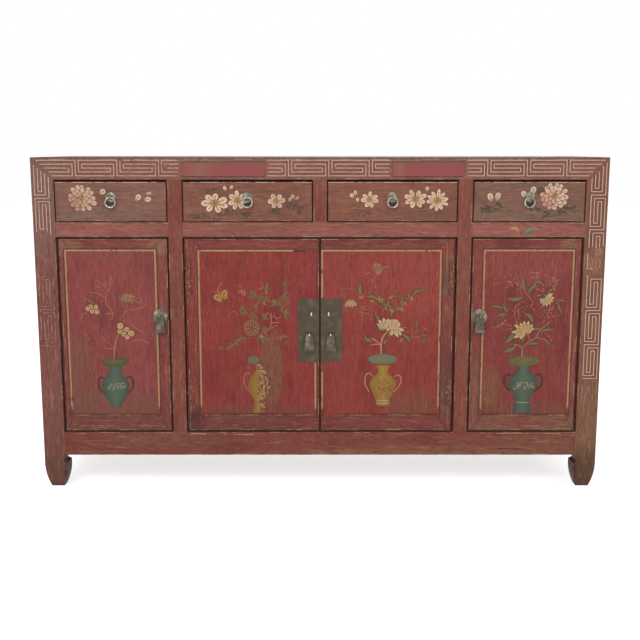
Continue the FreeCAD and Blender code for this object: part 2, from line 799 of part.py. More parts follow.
def door_blank(hinge_edge, free_edge, direction, bottom, top):
    """The whole slab of a door, with its hinge edge rounded about the pivot."""
    pivot_x, pivot_y = pivot_place(hinge_edge, direction)
    radius = pivot_inset - pivot_edge_gap
    face = y_at(FRONT, 0)
    back = y_at(FRONT, door_thickness)
    shoulder = pivot_x - direction * math.sqrt(radius ** 2 - pivot_setback ** 2)
    tangent = Vector(pivot_x, pivot_y + radius, bottom)
    edges = [
        Part.Arc(Vector(shoulder, face, bottom), Vector(pivot_x - direction * radius, pivot_y, bottom), tangent),
        Part.LineSegment(tangent, Vector(free_edge, back, bottom)),
        Part.LineSegment(Vector(free_edge, back, bottom), Vector(free_edge, face, bottom)),
        Part.LineSegment(Vector(free_edge, face, bottom), Vector(shoulder, face, bottom)),
    ]
    return Part.Face(Part.Wire([edge.toShape() for edge in edges])).extrude(UP * (top - bottom))


def door_frame(node, hinge_edge, free_edge, stiles, direction, bottom, top):
    """The four members of a door's frame, mitred on the face, and its two pivots.

    Behind the mitred face the stiles run the full height, and carry the pivots.
    """
    blank = door_blank(hinge_edge, free_edge, direction, bottom, top)
    face = y_at(FRONT, 0)
    inner_hinge = hinge_edge + direction * stiles[0]
    inner_free = free_edge - direction * stiles[1]
    inner_bottom = bottom + door_bottom_rail_width
    inner_top = top - door_top_rail_width

    def member(corners, depth):
        return blank.common(prism([Vector(x, face, z) for x, z in corners], INWARD * depth))

    def mitred_face(edge, inner):
        return member([(hinge_edge, edge), (inner_hinge, inner), (inner_free, inner), (free_edge, edge)],
                      door_mitre_depth)

    mitres = [mitred_face(bottom, inner_bottom), mitred_face(top, inner_top)]
    place = pivot_place(hinge_edge, direction)
    pivots = [dowel(place, pivot_radius, bottom - pivot_bottom_length, bottom + pivot_root),
              dowel(place, pivot_radius, top - pivot_root, top + pivot_top_length)]
    pieces = []
    for outer, inner, dowels in ((hinge_edge, inner_hinge, pivots), (free_edge, inner_free, [])):
        stile = member([(outer, bottom), (inner, bottom), (inner, top), (outer, top)], door_thickness)
        pieces.append(Piece(node, stile.cut(mitres), tails=dowels))
    for edge, inner, inward, mitre in ((bottom, inner_bottom, 1, mitres[0]), (top, inner_top, -1, mitres[1])):
        near = inner - inward * door_tenon_shoulder
        far = near - inward * door_tenon_height
        setback = y_at(FRONT, door_tenon_setback)
        tenons = [block(inner_x, inner_x + outward * door_tenon_length,
                        setback, setback + door_tenon_thickness, near, far)
                  for inner_x, outward in ((inner_hinge, -direction), (inner_free, direction))]
        body = member([(inner_hinge, edge), (inner_hinge, inner), (inner_free, inner), (inner_free, edge)],
                      door_thickness)
        pieces.append(Piece(node, body.fuse(mitre).removeSplitter(), tenons))
    return pieces, (inner_hinge, inner_free, inner_bottom, inner_top)


def door_panel(node, opening):
    """A door's flush panel, tongued into the frame, with two dovetailed battens behind."""
    inner_hinge, inner_free, low, high = opening
    left = min(inner_hinge, inner_free)
    right = max(inner_hinge, inner_free)
    field = block(left + door_panel_gap, right - door_panel_gap, y_at(FRONT, 0),
                  y_at(FRONT, door_panel_thickness), low + door_panel_gap, high - door_panel_gap)
    tongue = block(left - door_tongue_length, right + door_tongue_length,
                   y_at(FRONT, door_tongue_setback),
                   y_at(FRONT, door_tongue_setback + door_tongue_thickness),
                   low - door_tongue_length, high + door_tongue_length)
    pieces = [Piece(node, field, [tongue])]
    back = y_at(FRONT, door_panel_thickness)
    for share in door_batten_places_share:
        middle = low + (high - low) * share
        half = door_batten_width / 2
        neck = half - 2 * dovetail_spread
        tip = half - dovetail_spread
        tail = prism([Vector(left + door_panel_gap, back, middle - neck),
                      Vector(left + door_panel_gap, back - dovetail_height / 2, middle - tip),
                      Vector(left + door_panel_gap, back - dovetail_height / 2, middle + tip),
                      Vector(left + door_panel_gap, back, middle + neck)],
                     ACROSS * (right - left - 2 * door_panel_gap))
        body = block(left, right, back, back + door_batten_thickness, middle - half, middle + half)
        shoulder = door_batten_tenon_shoulder
        tenons = [block(edge, edge + side * door_batten_tenon_length,
                        back + shoulder, back + door_batten_thickness - shoulder,
                        middle - half + shoulder, middle + half - shoulder)
                  for edge, side in ((left, LEFT), (right, RIGHT))]
        pieces.append(Piece(node, body, tenons, [tail]))
    return pieces


def door(name, hinge_edge, free_edge, stiles):
    """A framed door with its plate, split pins and pendant."""
    direction = 1 if free_edge > hinge_edge else -1
    bottom = door_bottom + door_edge_gap
    top = door_top - door_edge_gap
    pieces, opening = door_frame(name + "_frame", hinge_edge, free_edge, stiles, direction, bottom, top)
    pieces += door_panel(name + "_panel", opening)
    seat(pieces)
    if name.startswith("centre"):
        x = -direction * centre_pull_offset
        level = centre_pull_level
        staple_x = -direction * staple_offset
        holes = [pin_hole(x, level, door_thickness, eye_stand, strip_width),
                 pin_hole(staple_x, staple_level, door_thickness, staple_stand, staple_width)]
        plate = lock_plate(-direction)
        pins = [split_pin(x, level, door_thickness, eye_stand, eye_radius, strip_width),
                split_pin(staple_x, staple_level, door_thickness, staple_stand, staple_eye_radius,
                          staple_width)]
    else:
        edge = free_edge + direction * door_edge_gap
        x = edge - direction * side_pull_inset
        level = side_pull_level
        holes = [pin_hole(x, level, door_thickness, eye_stand, strip_width)]
        plate = round_plate(x, level, round_plate_radius, round_plate_rim, plate_thickness,
                            round_plate_crown_radius)
        pins = [split_pin(x, level, door_thickness, eye_stand, eye_radius, strip_width)]
    for piece in pieces:
        piece.solid = piece.solid.cut(holes)
    pieces.append(Piece(name + "_plate", plate.cut(holes)))
    pieces += [Piece(name + "_plate", pin) for pin in pins]
    pieces.append(Piece(name + "_pendant", pendant(x, level)))
    return pieces


def export(pieces):
    """Write each node's solids to one file."""
    os.makedirs("parts", exist_ok=True)
    nodes = {}
    for piece in pieces:
        nodes.setdefault(piece.node, []).extend(piece.solid.Solids)
    for node, solids in nodes.items():
        shape = solids[0] if len(solids) == 1 else Part.makeCompound(solids)
        shape.exportStep("parts/" + node + ".step")
        print(node, len(solids), "solids", "valid" if shape.isValid() else "NOT VALID")


all_pieces = carcass()
for number, (left_edge, right_edge) in enumerate(drawer_openings(), start=1):
    all_pieces += drawer("drawer_%d" % number, left_edge, right_edge)
for door_name, hinge_side, free_side, stile_widths in door_openings():
    all_pieces += door(door_name, hinge_side, free_side, stile_widths)
export(all_pieces)
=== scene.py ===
import random
from math import atan2, cos, hypot, pi, radians, sin, sqrt

import bmesh
import bpy
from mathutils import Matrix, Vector


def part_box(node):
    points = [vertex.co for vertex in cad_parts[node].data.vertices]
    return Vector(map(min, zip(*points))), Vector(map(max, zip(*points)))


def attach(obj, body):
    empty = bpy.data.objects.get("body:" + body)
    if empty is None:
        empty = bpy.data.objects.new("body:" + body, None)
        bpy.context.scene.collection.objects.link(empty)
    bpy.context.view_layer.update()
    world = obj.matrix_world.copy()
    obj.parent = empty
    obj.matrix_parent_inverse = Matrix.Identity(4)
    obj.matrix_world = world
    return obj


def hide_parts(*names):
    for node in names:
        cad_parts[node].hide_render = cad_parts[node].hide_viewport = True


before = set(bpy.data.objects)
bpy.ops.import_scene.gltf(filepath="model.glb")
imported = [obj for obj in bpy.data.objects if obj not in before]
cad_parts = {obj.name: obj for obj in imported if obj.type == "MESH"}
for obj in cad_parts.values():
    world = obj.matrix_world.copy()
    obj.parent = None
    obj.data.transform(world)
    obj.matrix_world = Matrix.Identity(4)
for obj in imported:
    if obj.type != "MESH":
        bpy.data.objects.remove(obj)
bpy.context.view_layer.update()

# The looks of the painted sideboard: worn paint on every solid, raised fret lines, beads round
# the door panels, flowers and vases in thin coats of paint, and smooth brass.
# Lengths are in metres, but the pen draws in millimetres, and some places are so marked below.

MM = 0.001
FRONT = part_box("front_left_post")[0].y

# The photo's camera, fitted to the marked corners of the front: millimetres, metres and degrees.
FOCAL_LENGTH = 55.125
CAMERA_DISTANCE = 2.702484
CAMERA_HEIGHT = 0.962052
CAMERA_TILT = 9.9176

# Coats of paint stand this far before the wood, and each later coat a little further, in mm.
FIRST_COAT = 0.12
COAT_STEP = 0.002
COAT_ROOT = 0.25

# Raised lines and beads in millimetres, and how far the solids' edges are rounded, in metres.
RELIEF = 0.5
BEAD_WIDTH = 5.6
BEAD_HEIGHT = 1.9
ROUNDING = 0.0006
TOP_ROUNDING = 0.0001

# Widths of the doors' lower and upper rails, in metres.
DOOR_RAILS = (0.048, 0.035)

# The depth of the finest relief, and the step that keeps one noise of a paint apart from another.
BUMP_DEPTH = 0.0006
NOISE_STEP = 7.31

# Colours, as linear red, green and blue.
FRAME_RED = (0.222, 0.066, 0.048)
LOW_RAIL_RED = (0.208, 0.064, 0.048)
DOOR_RED = (0.218, 0.056, 0.048)
BROWN = (0.190, 0.085, 0.055)
GREY_BROWN = (0.215, 0.130, 0.098)
DARK = (0.050, 0.022, 0.016)
# Near black, for painted shade in the gaps round the drawers and doors, and for one dark line on the bottom
# rail.
SHADE_AND_SOOT = (0.022, 0.011, 0.008)
RUBBED = (0.430, 0.260, 0.180)
TAN_WEAR = (0.370, 0.185, 0.120)
PINK_WEAR = (0.340, 0.120, 0.100)
WOOD = (0.330, 0.190, 0.100)
WOOD_DARK = (0.190, 0.100, 0.050)
GILT = (0.500, 0.275, 0.145)
FRET = (0.560, 0.370, 0.280)
FRET_WORN = (0.400, 0.215, 0.180)
FRET_SHADE = (0.120, 0.052, 0.040)
CREAM = (0.790, 0.605, 0.435)
PETAL_PINK = (0.560, 0.270, 0.200)
PETAL_ROOT = (0.500, 0.260, 0.140)
PETAL_FLUSH = (0.640, 0.410, 0.280)
PETAL_EDGE = (0.180, 0.072, 0.045)
PINK_LINE = (0.420, 0.150, 0.125)
OLIVE = (0.150, 0.110, 0.042)
STEM = (0.210, 0.105, 0.055)
TWIG = (0.440, 0.210, 0.140)
DARK_LEAF = (0.070, 0.062, 0.045)
OCHRE = (0.360, 0.215, 0.050)
OCHRE_DARK = (0.250, 0.135, 0.038)
VASE_GREEN = (0.082, 0.138, 0.096)
VASE_DARK = (0.046, 0.080, 0.060)
YELLOW = (0.470, 0.270, 0.060)
CARTOUCHE_RED = (0.285, 0.078, 0.078)


class Paint:
    """A material under construction, with short calls for the nodes that it repeats."""

    def __init__(self, name):
        self.material = bpy.data.materials.new(name)
        self.material.use_nodes = True
        self.tree = self.material.node_tree
        self.shader = self.tree.nodes["Principled BSDF"]
        self.place = self.add("ShaderNodeTexCoord").outputs["Object"]
        self.seed = 0.0

    def add(self, kind, feeds=(), **settings):
        """A node with its settings, and with what goes into its inputs, by name or number."""
        node = self.tree.nodes.new(kind)
        for name, value in settings.items():
            setattr(node, name, value)
        for socket, value in dict(feeds).items():
            self.feed(node.inputs[socket], value)
        return node

    def feed(self, socket, value):
        if isinstance(value, bpy.types.NodeSocket):
            self.tree.links.new(value, socket)
        elif isinstance(value, (tuple, list)) and len(value) == 3 and socket.type == "RGBA":
            socket.default_value = (*value, 1.0)
        else:
            socket.default_value = value

    def math(self, operation, first, second):
        return self.add("ShaderNodeMath", {0: first, 1: second}, operation=operation).outputs[0]

    def noise(self, frequencies, detail=3.0, roughness=0.6):
        """Noise with its own frequency, in waves per metre, along each axis."""
        self.seed += NOISE_STEP
        start = (self.seed, self.seed * 0.7, self.seed * 1.3)
        mapping = self.add("ShaderNodeMapping", {"Vector": self.place, "Location": start,
                                                 "Scale": frequencies})
        return self.add("ShaderNodeTexNoise", {"Vector": mapping.outputs[0], "Scale": 1.0, "Detail": detail,
                                               "Roughness": roughness}).outputs[0]

    def ramp(self, value, low, high, to_low=0.0, to_high=1.0):
        """A smooth step from one value to another."""
        feeds = enumerate((value, low, high, to_low, to_high))
        return self.add("ShaderNodeMapRange", feeds, interpolation_type="SMOOTHSTEP").outputs[0]

    def mix(self, first, second, factor):
        return self.add("ShaderNodeMix", {"Factor": factor, 6: first, 7: second}, data_type="RGBA").outputs[2]

    def laid_over(self, under, over, seen, low, high, share):
        """A colour with another on it where a noise passes from low to high."""
        return self.mix(under, over, self.math("MULTIPLY", self.ramp(seen, low, high), share))

    def patch(self, centre, radii):
        """One inside an ellipsoid, fading to zero round it."""
        offset = self.add("ShaderNodeVectorMath", {0: self.place, 1: centre}, operation="SUBTRACT").outputs[0]
        scaled = self.add("ShaderNodeVectorMath", {0: offset, 1: radii}, operation="DIVIDE").outputs[0]
        length = self.add("ShaderNodeVectorMath", {0: scaled}, operation="LENGTH").outputs["Value"]
        return self.ramp(length, 1.15, 0.55)

    def axis(self, index):
        return self.add("ShaderNodeSeparateXYZ", {0: self.place}).outputs[index]

    def bump(self, height, strength):
        node = self.add("ShaderNodeBump", {"Strength": strength, "Distance": BUMP_DEPTH, "Height": height})
        self.feed(self.shader.inputs["Normal"], node.outputs[0])


def along(grain, fine, coarse):
    """Noise frequencies that are coarse along the grain and fine across it."""
    return tuple(coarse if axis == grain else fine for axis in "xyz")


def old_paint(paint, colour, grain, wear=1.0, patches=(), wear_colour=TAN_WEAR, under=BROWN):
    """The colour and roughness of old paint, rubbed along the grain, with patches of other tones, soil and
    painted shade.
    """
    broad = paint.noise(along(grain, 15.0, 6.0), 4.0)
    streak = paint.noise(along(grain, 125.0, 12.0), 4.0, 0.65)
    fine = paint.noise(along(grain, 300.0, 42.0), 3.0, 0.7)
    dirt = paint.noise((26.0, 26.0, 26.0), 5.0, 0.7)
    chips = paint.noise((300.0, 300.0, 300.0), 2.0)
    result = paint.mix(shifted(colour, 0.80), shifted(colour, 1.05), paint.ramp(broad, 0.32, 0.56))
    for centre, radii, patch_colour, strength in patches:
        spot = paint.math("MULTIPLY", paint.patch(centre, radii), paint.ramp(streak, 0.22, 0.50))
        result = paint.mix(result, patch_colour, paint.math("MULTIPLY", spot, strength))
    for tone, *layer in ((under, dirt, 0.50, 0.68, 0.55 * wear),
                         (wear_colour, streak, 0.52, 0.72, 0.55 * wear),
                         (shifted(colour, 0.50), streak, 0.42, 0.26, 0.45),
                         (shifted(colour, 0.60), fine, 0.50, 0.66, 0.68),
                         (wear_colour, fine, 0.42, 0.28, 0.50 * wear)):
        result = paint.laid_over(result, tone, *layer)
    flakes = paint.math("MULTIPLY", paint.ramp(chips, 0.66, 0.72), paint.ramp(dirt, 0.46, 0.58))
    result = paint.mix(result, RUBBED, paint.math("MULTIPLY", flakes, 0.75 * wear))
    roughness = paint.ramp(paint.math("ADD", streak, dirt), 0.8, 1.25, 0.42, 0.68)
    height = paint.math("ADD", paint.math("MULTIPLY", fine, 0.6), paint.math("MULTIPLY", streak, 0.8))
    return result, roughness, height


def finish_paint(paint, colour, roughness, height, strength=0.35):
    paint.feed(paint.shader.inputs["Base Color"], colour)
    paint.feed(paint.shader.inputs["Roughness"], roughness)
    paint.shader.inputs["Specular IOR Level"].default_value = 0.12
    paint.bump(height, strength)
    return paint.material


def shifted(colour, shift):
    return tuple(min(1.0, max(0.0, part * shift)) for part in colour)


def painted(name, colour, grain, **looks):
    paint = Paint(name)
    return finish_paint(paint, *old_paint(paint, colour, grain, **looks))


def drawn_on(name, colour, grain, **looks):
    """Paint that carries figures: each point's own pigment, worn through to the ground."""
    paint = Paint(name)
    ground, roughness, height = old_paint(paint, colour, grain, **looks)
    pigment = paint.add("ShaderNodeAttribute", attribute_name="pigment")
    brush = paint.noise(along(grain, 300.0, 90.0), 3.0)
    worn = paint.noise(along(grain, 260.0, 70.0), 4.0, 0.75)
    broad = paint.noise((45.0, 45.0, 45.0), 3.0)
    level = paint.math("ADD", paint.math("MULTIPLY", worn, 0.65), paint.math("MULTIPLY", broad, 0.35))
    gone = paint.math("SUBTRACT", 1.0, pigment.outputs["Alpha"])
    limit = paint.add("ShaderNodeMath", {0: gone, 1: 0.38, 2: 0.29}, operation="MULTIPLY_ADD").outputs[0]
    cover = paint.ramp(paint.math("SUBTRACT", level, limit), -0.04, 0.09)
    shaded = paint.mix(pigment.outputs["Color"], ground, paint.ramp(brush, 0.58, 0.30, 0.0, 0.28))
    return finish_paint(paint, paint.mix(ground, shaded, cover), roughness, height)


def bare_wood(name, grain, light=WOOD, dark=WOOD_DARK):
    paint = Paint(name)
    streak = paint.noise(along(grain, 130.0, 5.0), 4.0)
    pores = paint.noise(along(grain, 900.0, 40.0), 2.0)
    stain = paint.noise((7.0, 7.0, 7.0), 4.0)
    colour = paint.mix(dark, light, paint.ramp(streak, 0.34, 0.64))
    colour = paint.laid_over(colour, dark, pores, 0.55, 0.70, 0.5)
    colour = paint.mix(colour, (0.13, 0.075, 0.045), paint.ramp(stain, 0.50, 0.75, 0.0, 0.6))
    height = paint.math("ADD", streak, paint.math("MULTIPLY", pores, 0.5))
    return finish_paint(paint, colour, paint.ramp(stain, 0.3, 0.7, 0.62, 0.80), height, 0.45)


def old_brass(name, patina, metal, rub_low, rub_high, proud=None, spotting=0.6):
    """Brass under a brown patina, bright where hands and use have rubbed it.

    What stands out before the proud level is painted lighter, as rubbed metal and as a painted highlight.
    """
    paint = Paint(name)
    cloud = paint.noise((120.0 * spotting, 120.0, 120.0 * spotting), 5.0, 0.65)
    spots = paint.noise((700.0, 700.0, 700.0), 3.0)
    scratches = paint.noise((1500.0, 300.0, 220.0), 2.0)
    rubbed = paint.ramp(cloud, rub_low, rub_high)
    if proud is not None:
        # Proud parts, such as the staple heads, get rubbed metal's colour and a painted highlight.
        rubbed_and_highlit = paint.ramp(paint.axis(1), proud, proud - 0.002)
        metal = paint.mix(metal, (0.580, 0.550, 0.490), rubbed_and_highlit)
        rubbed = paint.math("MAXIMUM", rubbed, rubbed_and_highlit)
    colour = paint.mix(patina, metal, rubbed)
    colour = paint.mix(colour, shifted(patina, 0.45), paint.ramp(spots, 0.56, 0.70, 0.0, spotting))
    colour = paint.mix(colour, metal, paint.ramp(scratches, 0.60, 0.74, 0.0, 0.35))
    paint.feed(paint.shader.inputs["Base Color"], colour)
    paint.feed(paint.shader.inputs["Metallic"], paint.ramp(rubbed, 0.0, 1.0, 0.55, 0.90))
    paint.feed(paint.shader.inputs["Roughness"], paint.ramp(cloud, 0.3, 0.7, 0.58, 0.38))
    paint.bump(paint.math("ADD", cloud, spots), 0.30)
    return paint.material


def gilt_bead(name, low):
    """Worn gilding over the ground colour, lost towards the bottom of the door."""
    paint = Paint(name)
    ground, roughness, height = old_paint(paint, DOOR_RED, "z")
    worn = paint.noise((70.0, 70.0, 28.0), 4.0, 0.7)
    fine = paint.noise((500.0, 500.0, 500.0), 3.0)
    kept = paint.ramp(paint.axis(2), low + 0.004, low + 0.035, 0.02, 0.30)
    cover = paint.ramp(paint.math("ADD", worn, kept), 0.66, 0.72)
    bright = paint.mix(shifted(GILT, 0.62), GILT, paint.ramp(fine, 0.35, 0.6))
    return finish_paint(paint, paint.mix(ground, bright, cover), roughness, height)


def build_mesh(name, vertices, faces, material, body, smooth=False):
    """A new piece that rides on a body and takes the finish it is given."""
    mesh = bpy.data.meshes.new(name)
    mesh.from_pydata(vertices, [], faces)
    mesh.validate()
    shape = bmesh.new()
    shape.from_mesh(mesh)
    bmesh.ops.recalc_face_normals(shape, faces=shape.faces)
    shape.to_mesh(mesh)
    shape.free()
    mesh.materials.append(material)
    if smooth:
        mesh.polygons.foreach_set("use_smooth", [True] * len(mesh.polygons))
    piece = bpy.data.objects.new(name, mesh)
    bpy.context.scene.collection.objects.link(piece)
    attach(piece, body)
    return piece


def spline(points, steps=6):
    """Points along a smooth curve through the given ones."""
    ends = [points[0]] + list(points) + [points[-1]]
    curve = []
    for before, start, end, after in zip(ends, ends[1:], ends[2:], ends[3:]):
        for step in range(steps):
            t = step / steps
            curve.append(tuple(
                0.5 * (2 * b + (c - a) * t + (2 * a - 5 * b + 4 * c - d) * t * t
                       + (3 * b - a - 3 * c + d) * t * t * t)
                for a, b, c, d in zip(before, start, end, after)))
    curve.append(tuple(points[-1]))
    return curve


class Pen:
    """Lays thin coats of paint on the front of one node, gathered in one mesh.

    Places are in millimetres from the middle of the node's lower edge.
    """

    def __init__(self, node):
        low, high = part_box(node)
        self.middle = (low.x + high.x) / 2
        self.low = low.z
        self.vertices = []
        self.faces = []
        self.pigments = []
        self.lift = FIRST_COAT

    def point(self, x, z, depth, pigment):
        self.vertices.append((self.middle + x * MM, FRONT - depth * MM, self.low + z * MM))
        self.pigments.append(pigment)
        return len(self.vertices) - 1

    def grid(self, rows, pigments, height=0.0):
        """A coat laid on rows of points, closed behind its edge in the wood."""
        self.lift += COAT_STEP
        front, back = ([[self.point(*place, depth, pigment) for place, pigment in zip(row, shades)]
                        for row, shades in zip(rows, pigments)] for depth in (self.lift + height, -COAT_ROOT))
        last_row = len(rows) - 1
        last = len(rows[0]) - 1
        for sheet, order in ((front, 1), (back, -1)):
            for r in range(last_row):
                for c in range(last):
                    face = [sheet[r][c], sheet[r][c + 1], sheet[r + 1][c + 1], sheet[r + 1][c]]
                    self.faces.append(face[::order])
        rim = ([(0, c) for c in range(last)] + [(r, last) for r in range(last_row)]
               + [(last_row, c) for c in range(last, 0, -1)] + [(r, 0) for r in range(last_row, 0, -1)])
        for (r, c), (s, d) in zip(rim, rim[1:] + rim[:1]):
            self.faces.append([front[s][d], front[r][c], back[r][c], back[s][d]])

    def fan(self, centre, outline, middle_colour, rim_colour, keep=1.0):
        """A coat round a middle point, shaded from there to its outline."""
        self.lift += COAT_STEP
        inner = (*middle_colour, keep)
        outer = (*rim_colour, keep)
        layers = []
        for depth in (self.lift, -COAT_ROOT):
            hub = self.point(*centre, depth, inner)
            layers.append((hub, [self.point(x, z, depth, outer) for x, z in outline]))
        (front_hub, front), (back_hub, back) = layers
        for index in range(len(outline)):
            after = (index + 1) % len(outline)
            self.faces.append([front_hub, front[index], front[after]])
            self.faces.append([back_hub, back[after], back[index]])
            self.faces.append([front[after], front[index], back[index], back[after]])

    def stroke(self, points, width, colour, keep=1.0, taper=0.5, steps=5, height=0.0):
        """A brush line through some points, narrowing to both ends."""
        line = spline(points, steps) if steps > 1 else list(points)
        rows = []
        shades = []
        for index, (x, z) in enumerate(line):
            ahead = line[min(index + 1, len(line) - 1)]
            behind = line[max(index - 1, 0)]
            heading = Vector((ahead[0] - behind[0], ahead[1] - behind[1])).normalized()
            share = index / (len(line) - 1)
            half = width / 2 * (1 - taper + taper * sin(pi * min(max(share, 0.04), 0.96)))
            rows.append([(x - heading.y * half, z + heading.x * half),
                         (x + heading.y * half, z - heading.x * half)])
            shades.append([(*colour, keep)] * 2)
        self.grid(rows, shades, height)

    def line(self, points, width, colour, keep=1.0, height=0.0):
        """A brush line as wide at its ends as in its middle."""
        self.stroke(points, width, colour, keep, 0.0, 1, height)

    def spot(self, x, z, half_width, half_height, inner, outer, keep=1.0, turn=0.0, count=16, ripple=0.0,
             lobes=5):
        """An oval coat, shaded from its middle to its rim."""
        outline = ellipse(x, z, half_width, half_height, turn, count, ripple, lobes)
        self.fan((x, z), outline, inner, outer, keep)

    def finish(self, name, paint, looks, body="carcass"):
        piece = build_mesh(name, self.vertices, self.faces, drawn_on(paint, **looks), body)
        attribute = piece.data.attributes.new("pigment", "FLOAT_COLOR", "POINT")
        attribute.data.foreach_set("color", [part for pigment in self.pigments for part in pigment])
        return piece


def beyond(x, z, turn, reach, aside=0.0):
    """The point at a reach from a place, and a step to the left of the way there."""
    return (x + reach * cos(turn) - aside * sin(turn),
            z + reach * sin(turn) + aside * cos(turn))


def ellipse(x, z, half_width, half_height, turn=0.0, count=16, ripple=0.0, lobes=5):
    """The outline of an ellipse, with an optional ripple of lobes."""
    points = []
    for index in range(count):
        angle = index * 2 * pi / count
        swell = 1 + ripple * cos(lobes * angle)
        points.append(beyond(x, z, turn, half_width * cos(angle) * swell,
                             half_height * sin(angle) * swell))
    return points


def blade(x, z, turn, length, halves):
    """The outline of a petal, from its half widths at even steps along its length."""
    last = len(halves) - 1
    right, left = ([beyond(x, z, turn, length * (step / last), side * half)
                    for step, half in enumerate(halves)] for side in (-1, 1))
    return right + left[-2:0:-1]


def petal(pen, x, z, turn, length, width, heart, rim, keep=1.0, blunt=0.75):
    """A petal that swells from a point and ends in one."""
    shares = [step / 9 for step in range(1, 9)]
    halves = [width / 2 * sin(pi * share ** blunt) ** 0.8 for share in shares]
    outline = blade(x, z, turn, length, [0.0, *halves, 0.0])
    pen.fan(beyond(x, z, turn, length * 0.45), outline, heart, rim, keep)


def leaf(pen, x, z, turn, length, width, colour=OLIVE, keep=0.75, bend=0.0):
    """A pointed leaf, lighter along its middle, that may arch to its left. The turn is in degrees."""
    turn = radians(turn)
    edge = (*shifted(colour, 0.62), keep)
    rows = []
    for step in range(9):
        share = step / 8
        half = max(0.25, width / 2 * sin(pi * share ** 0.9) ** 0.8) if share < 1 else 0.25
        arch = bend * length * 4 * share * (1 - share)
        rows.append([beyond(x, z, turn, length * share, aside) for aside in (arch + half, arch, arch - half)])
    pen.grid(rows, [[edge, (*shifted(colour, 1.4), keep), edge]] * 9)


def paint_sprays(pen, sprays, colour=OLIVE, keep=0.75):
    """Leaves of three lobes, as a folk painter makes them, given as place, turn in degrees and length."""
    for x, z, turn, length in sprays:
        chance = random.Random(x * 7 + z)
        root = beyond(x, z, radians(turn), length * 0.12)
        for lean, share in ((-44, 0.62), (40, 0.68), (0, 1.0)):
            reach = length * share * chance.uniform(0.88, 1.12)
            leaf(pen, *root, turn + lean + chance.uniform(-12, 12), reach, reach * 0.40, colour, keep,
                 chance.uniform(-0.08, 0.08))


def paint_leaves(pen, leaves, colour, keep):
    """Single leaves on a dry dark shadow, given as place, turn in degrees, length, width and arch."""
    for x, z, turn, length, width, bend in leaves:
        leaf(pen, x, z - 0.8, turn, length * 1.12, width * 1.55, shifted(colour, 0.72), keep * 0.80, bend)
        leaf(pen, x, z, turn, length, width * 1.05, shifted(colour, 1.15), keep, bend)


def leaf_clusters(pen, keep, clusters):
    """Soft dark leaves, dabbed round places that are given with their spread and count."""
    for x, z, spread, count in clusters:
        chance = random.Random(x * 3 + z)
        for _ in range(round(count * 1.6)):
            leaf(pen, x + chance.gauss(0, spread), z + chance.gauss(0, spread * 0.55),
                 chance.uniform(180, 380), chance.uniform(10, 16), chance.uniform(4.5, 7.0), DARK_LEAF,
                 min(1.0, keep * chance.uniform(0.9, 1.25)))


def egg_outline(x, z, turn, length, width):
    """The outline of a petal that is narrow where it grows and round at its tip."""
    halves = []
    for step in range(13):
        share = step / 12
        if share < 0.60:
            halves.append(width / 2 * sin(pi / 2 * share / 0.60))
        else:
            halves.append(width / 2 * sqrt(max(0.0, 1 - ((share - 0.60) / 0.40) ** 2)))
    return blade(x, z, turn, length, halves)


def egg_petal(pen, x, z, turn, length, width, shade=1.0):
    """A cream petal in a thin brown outline, flushed at its root, with a small brown dab."""
    keep = 0.95
    centre = beyond(x, z, turn, length * 0.60)
    outline = egg_outline(x, z, turn, length * 1.05, width * 1.18)
    pen.fan(centre, outline, PETAL_EDGE, PETAL_EDGE, keep * 0.9)
    inner = egg_outline(x, z, turn, length, width * 0.96)
    pen.fan(centre, inner, shifted(PETAL_FLUSH, shade), shifted(CREAM, shade), keep)
    petal(pen, x, z, turn, length * 0.50, width * 0.36, (0.42, 0.18, 0.10), (0.54, 0.27, 0.16), keep, 0.8)
    pen.spot(*centre, length * 0.13, width * 0.11, (0.330, 0.145, 0.085), (0.42, 0.20, 0.12), keep, turn, 8)


def loose_petals(pen, petals):
    """Single petals and buds, given as middle, length, width, turn in degrees and shade."""
    for x, z, length, width, turn, shade in petals:
        turn = radians(turn)
        egg_petal(pen, *beyond(x, z, turn, -length / 2), turn, length, width, shade)


def blossom(pen, x, z, radius, petals, seed, squash=1.0, shade=1.0):
    """A flower of separate egg-shaped petals, seen from the front."""
    chance = random.Random(seed)
    width = 2 * pi * radius / petals * 0.54
    for index in range(petals):
        turn = 2 * pi * (index + chance.uniform(-0.12, 0.12)) / petals + seed
        length = radius * chance.uniform(0.78, 0.92)
        tilt = atan2(sin(turn) * squash, cos(turn))
        narrow = hypot(cos(turn), sin(turn) * squash)
        breadth = width * (0.55 + 0.45 * narrow) * chance.uniform(0.85, 1.05)
        egg_petal(pen, *beyond(x, z, tilt, radius * 0.12), tilt, length * narrow, breadth,
                  shade * chance.uniform(0.90, 1.04))
    stamens(pen, x, z, radius * 0.24, seed)


def berries(pen, places):
    """Round cream-yellow lobes in thin brown outlines, with a brown dab, given as place and radius."""
    keep = 0.95
    for x, z, radius in places:
        pen.spot(x, z, radius * 1.22, radius * 1.16, PETAL_EDGE, shifted(PETAL_EDGE, 0.9), keep * 0.85, x, 14)
        pen.spot(x, z, radius * 0.94, radius * 0.86, (0.430, 0.255, 0.115), (0.56, 0.35, 0.19), keep, x, 14,
                 0.05, 4)
        pen.spot(*beyond(x, z, x, radius * 0.30), radius * 0.34, radius * 0.20, (0.28, 0.12, 0.07),
                 (0.38, 0.19, 0.10), keep, x, 8)


